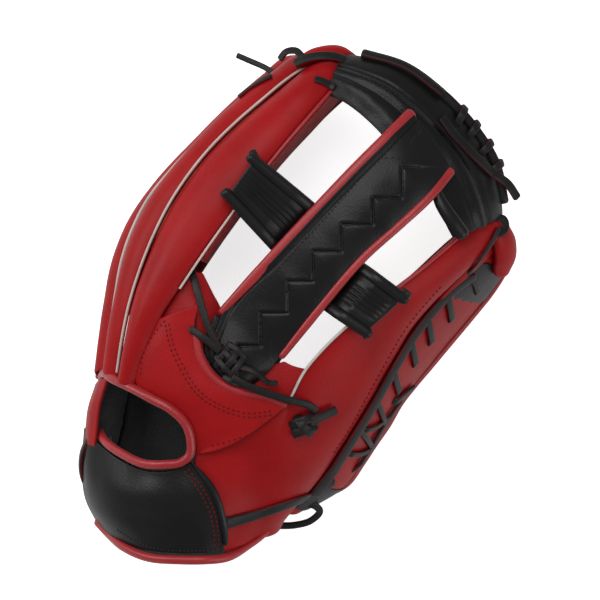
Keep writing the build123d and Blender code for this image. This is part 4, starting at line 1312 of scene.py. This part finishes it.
# %% Stitches on the back of the hand, the strap and the thumb
tongue = laid("hand_back", [(-78, -13.8), (-75, -27), (-70, -38), (-58.2, -55.4), (-45, -63.5),
                            (-30.6, -67.4), (-17, -66)])
lower = laid("hand_back", [(-13, -68.5), (-22, -76), (-31, -80.5), (-42, -84), (-53, -87)])
side = laid("index_back hand_back", [(-80, -12), (-88, -22), (-93.5, -33), (-95, -45)])
stitches("hand_back_stitches", [tongue, beside(*tongue, -2.4), lower, side],
         RED_THREAD, "root", length=1.9)
hem = laid("strap", [(-66.3, -100), (-57.4, -112.4), (-51, -125), (-48.4, -137), (-48, -147)])
stitches("strap_stitches", [beside(*hem, -0.6), beside(*hem, -3.2)], RED_THREAD, "root",
         pitch=2.9, radius=0.42)
bottom = laid("strap", [(-50, -149), (-65, -150), (-80, -149.5), (-97, -145.5), (-110, -138)])
stitches("strap_bottom_stitches", [bottom], DARK_THREAD, "root", pitch=2.4,
         length=1.5, radius=0.5)
dashes = laid("web_weave", [(-38, -9), (-8, 24), (19, 53), (36, 72), (52, 88), (60, 96)])
cross_dash = laid("web_weave", [(48, 84), (56, 84), (66, 81)], count=20)
stitches("weave_stitches", [dashes, cross_dash], DARK_THREAD, "web", pitch=2.8)
trim = laid(THUMB_SKINS, [(20, -92), (28, -80), (39, -60), (51, -38), (64, -16), (84, 8)])
stitches("thumb_stitches", [trim], RED_THREAD, "thumb", length=1.9)
arch_row = laid("web_arch", [(30, 136), (56, 123), (70, 111), (85, 96), (94, 84), (99, 66)])
stitches("arch_stitches", [arch_row], DARK_THREAD, "web")
print("stitched")

# %% [markdown]
# ## Stage, light and camera
# A pale floor, one large soft light overhead and a softer one from the fingers' side, which
# draws the long highlights down the stalls. The camera looks straight down through a long lens.

# %% The floor
FLOOR_LIFT = 0.74
FLOOR_REACH = 3


def floor_finish():
    """Pale paper: plain under the lights, and lifted towards white for the camera only."""
    made, tree = new_material("pale floor")
    paper = add(tree, "ShaderNodeBsdfPrincipled", {
        "Base Color": (0.9, 0.9, 0.9, 1), "Roughness": 0.9,
    })
    seen = add(tree, "ShaderNodeLightPath").outputs["Is Camera Ray"]
    lift = arithmetic(tree, "MULTIPLY", seen, FLOOR_LIFT)
    glow = add(tree, "ShaderNodeEmission", {"Color": (1, 1, 1, 1), "Strength": lift})
    both = add(tree, "ShaderNodeAddShader", {0: paper.outputs["BSDF"], 1: glow.outputs[0]})
    show(tree, both.outputs[0])
    return made


corners = [(x * FLOOR_REACH, y * FLOOR_REACH, 0) for x, y in ((-1, -1), (1, -1), (1, 1), (-1, 1))]
floor = object_from("floor", corners, [(0, 1, 2, 3)], [floor_finish()])

# %% Light and camera
def soft_light(name, place, aim, size, power):
    """A square area light that faces a point."""
    lamp = bpy.data.lights.new(name, "AREA")
    lamp.size = size
    lamp.energy = power
    made = bpy.data.objects.new(name, lamp)
    made.location = place
    made.rotation_euler = (Vector(aim) - Vector(place)).to_track_quat("-Z", "Y").to_euler()
    bpy.context.scene.collection.objects.link(made)


SKY_STRENGTH = 0.36
soft_light("overhead", (-0.3, 0.7, 1.6), (0, 0, 0.05), 1.0, 15)
soft_light("finger side", (-1.3, 0.5, 0.8), (0, 0, 0.06), 0.7, 10)
soft_light("thumb side", (1.2, -0.7, 1.0), (0, 0, 0.06), 1.0, 9)
world = bpy.data.worlds.new("studio")
bpy.context.scene.world = world
world.use_nodes = True
sky = world.node_tree.nodes["Background"].inputs
sky["Color"].default_value = (1, 1, 1, 1)
sky["Strength"].default_value = SKY_STRENGTH
bpy.context.scene.view_settings.view_transform = "Standard"

VIEW_WIDTH = 0.36
CLIP_END = 20
CAMERA_DISTANCE = 4.0
SENSOR = 36.0
MIDDLE_HEIGHT = 0.06
camera_data = bpy.data.cameras.new("camera")
camera_data.sensor_width = SENSOR
camera_data.lens = SENSOR * (CAMERA_DISTANCE - MIDDLE_HEIGHT) / VIEW_WIDTH
camera_data.clip_end = CLIP_END
camera = bpy.data.objects.new("camera", camera_data)
centre = at((0, 0, 0))[0]
camera.location = (centre[0], centre[1], CAMERA_DISTANCE)
bpy.context.scene.collection.objects.link(camera)
bpy.context.scene.camera = camera
print("camera lens", round(camera_data.lens, 1))
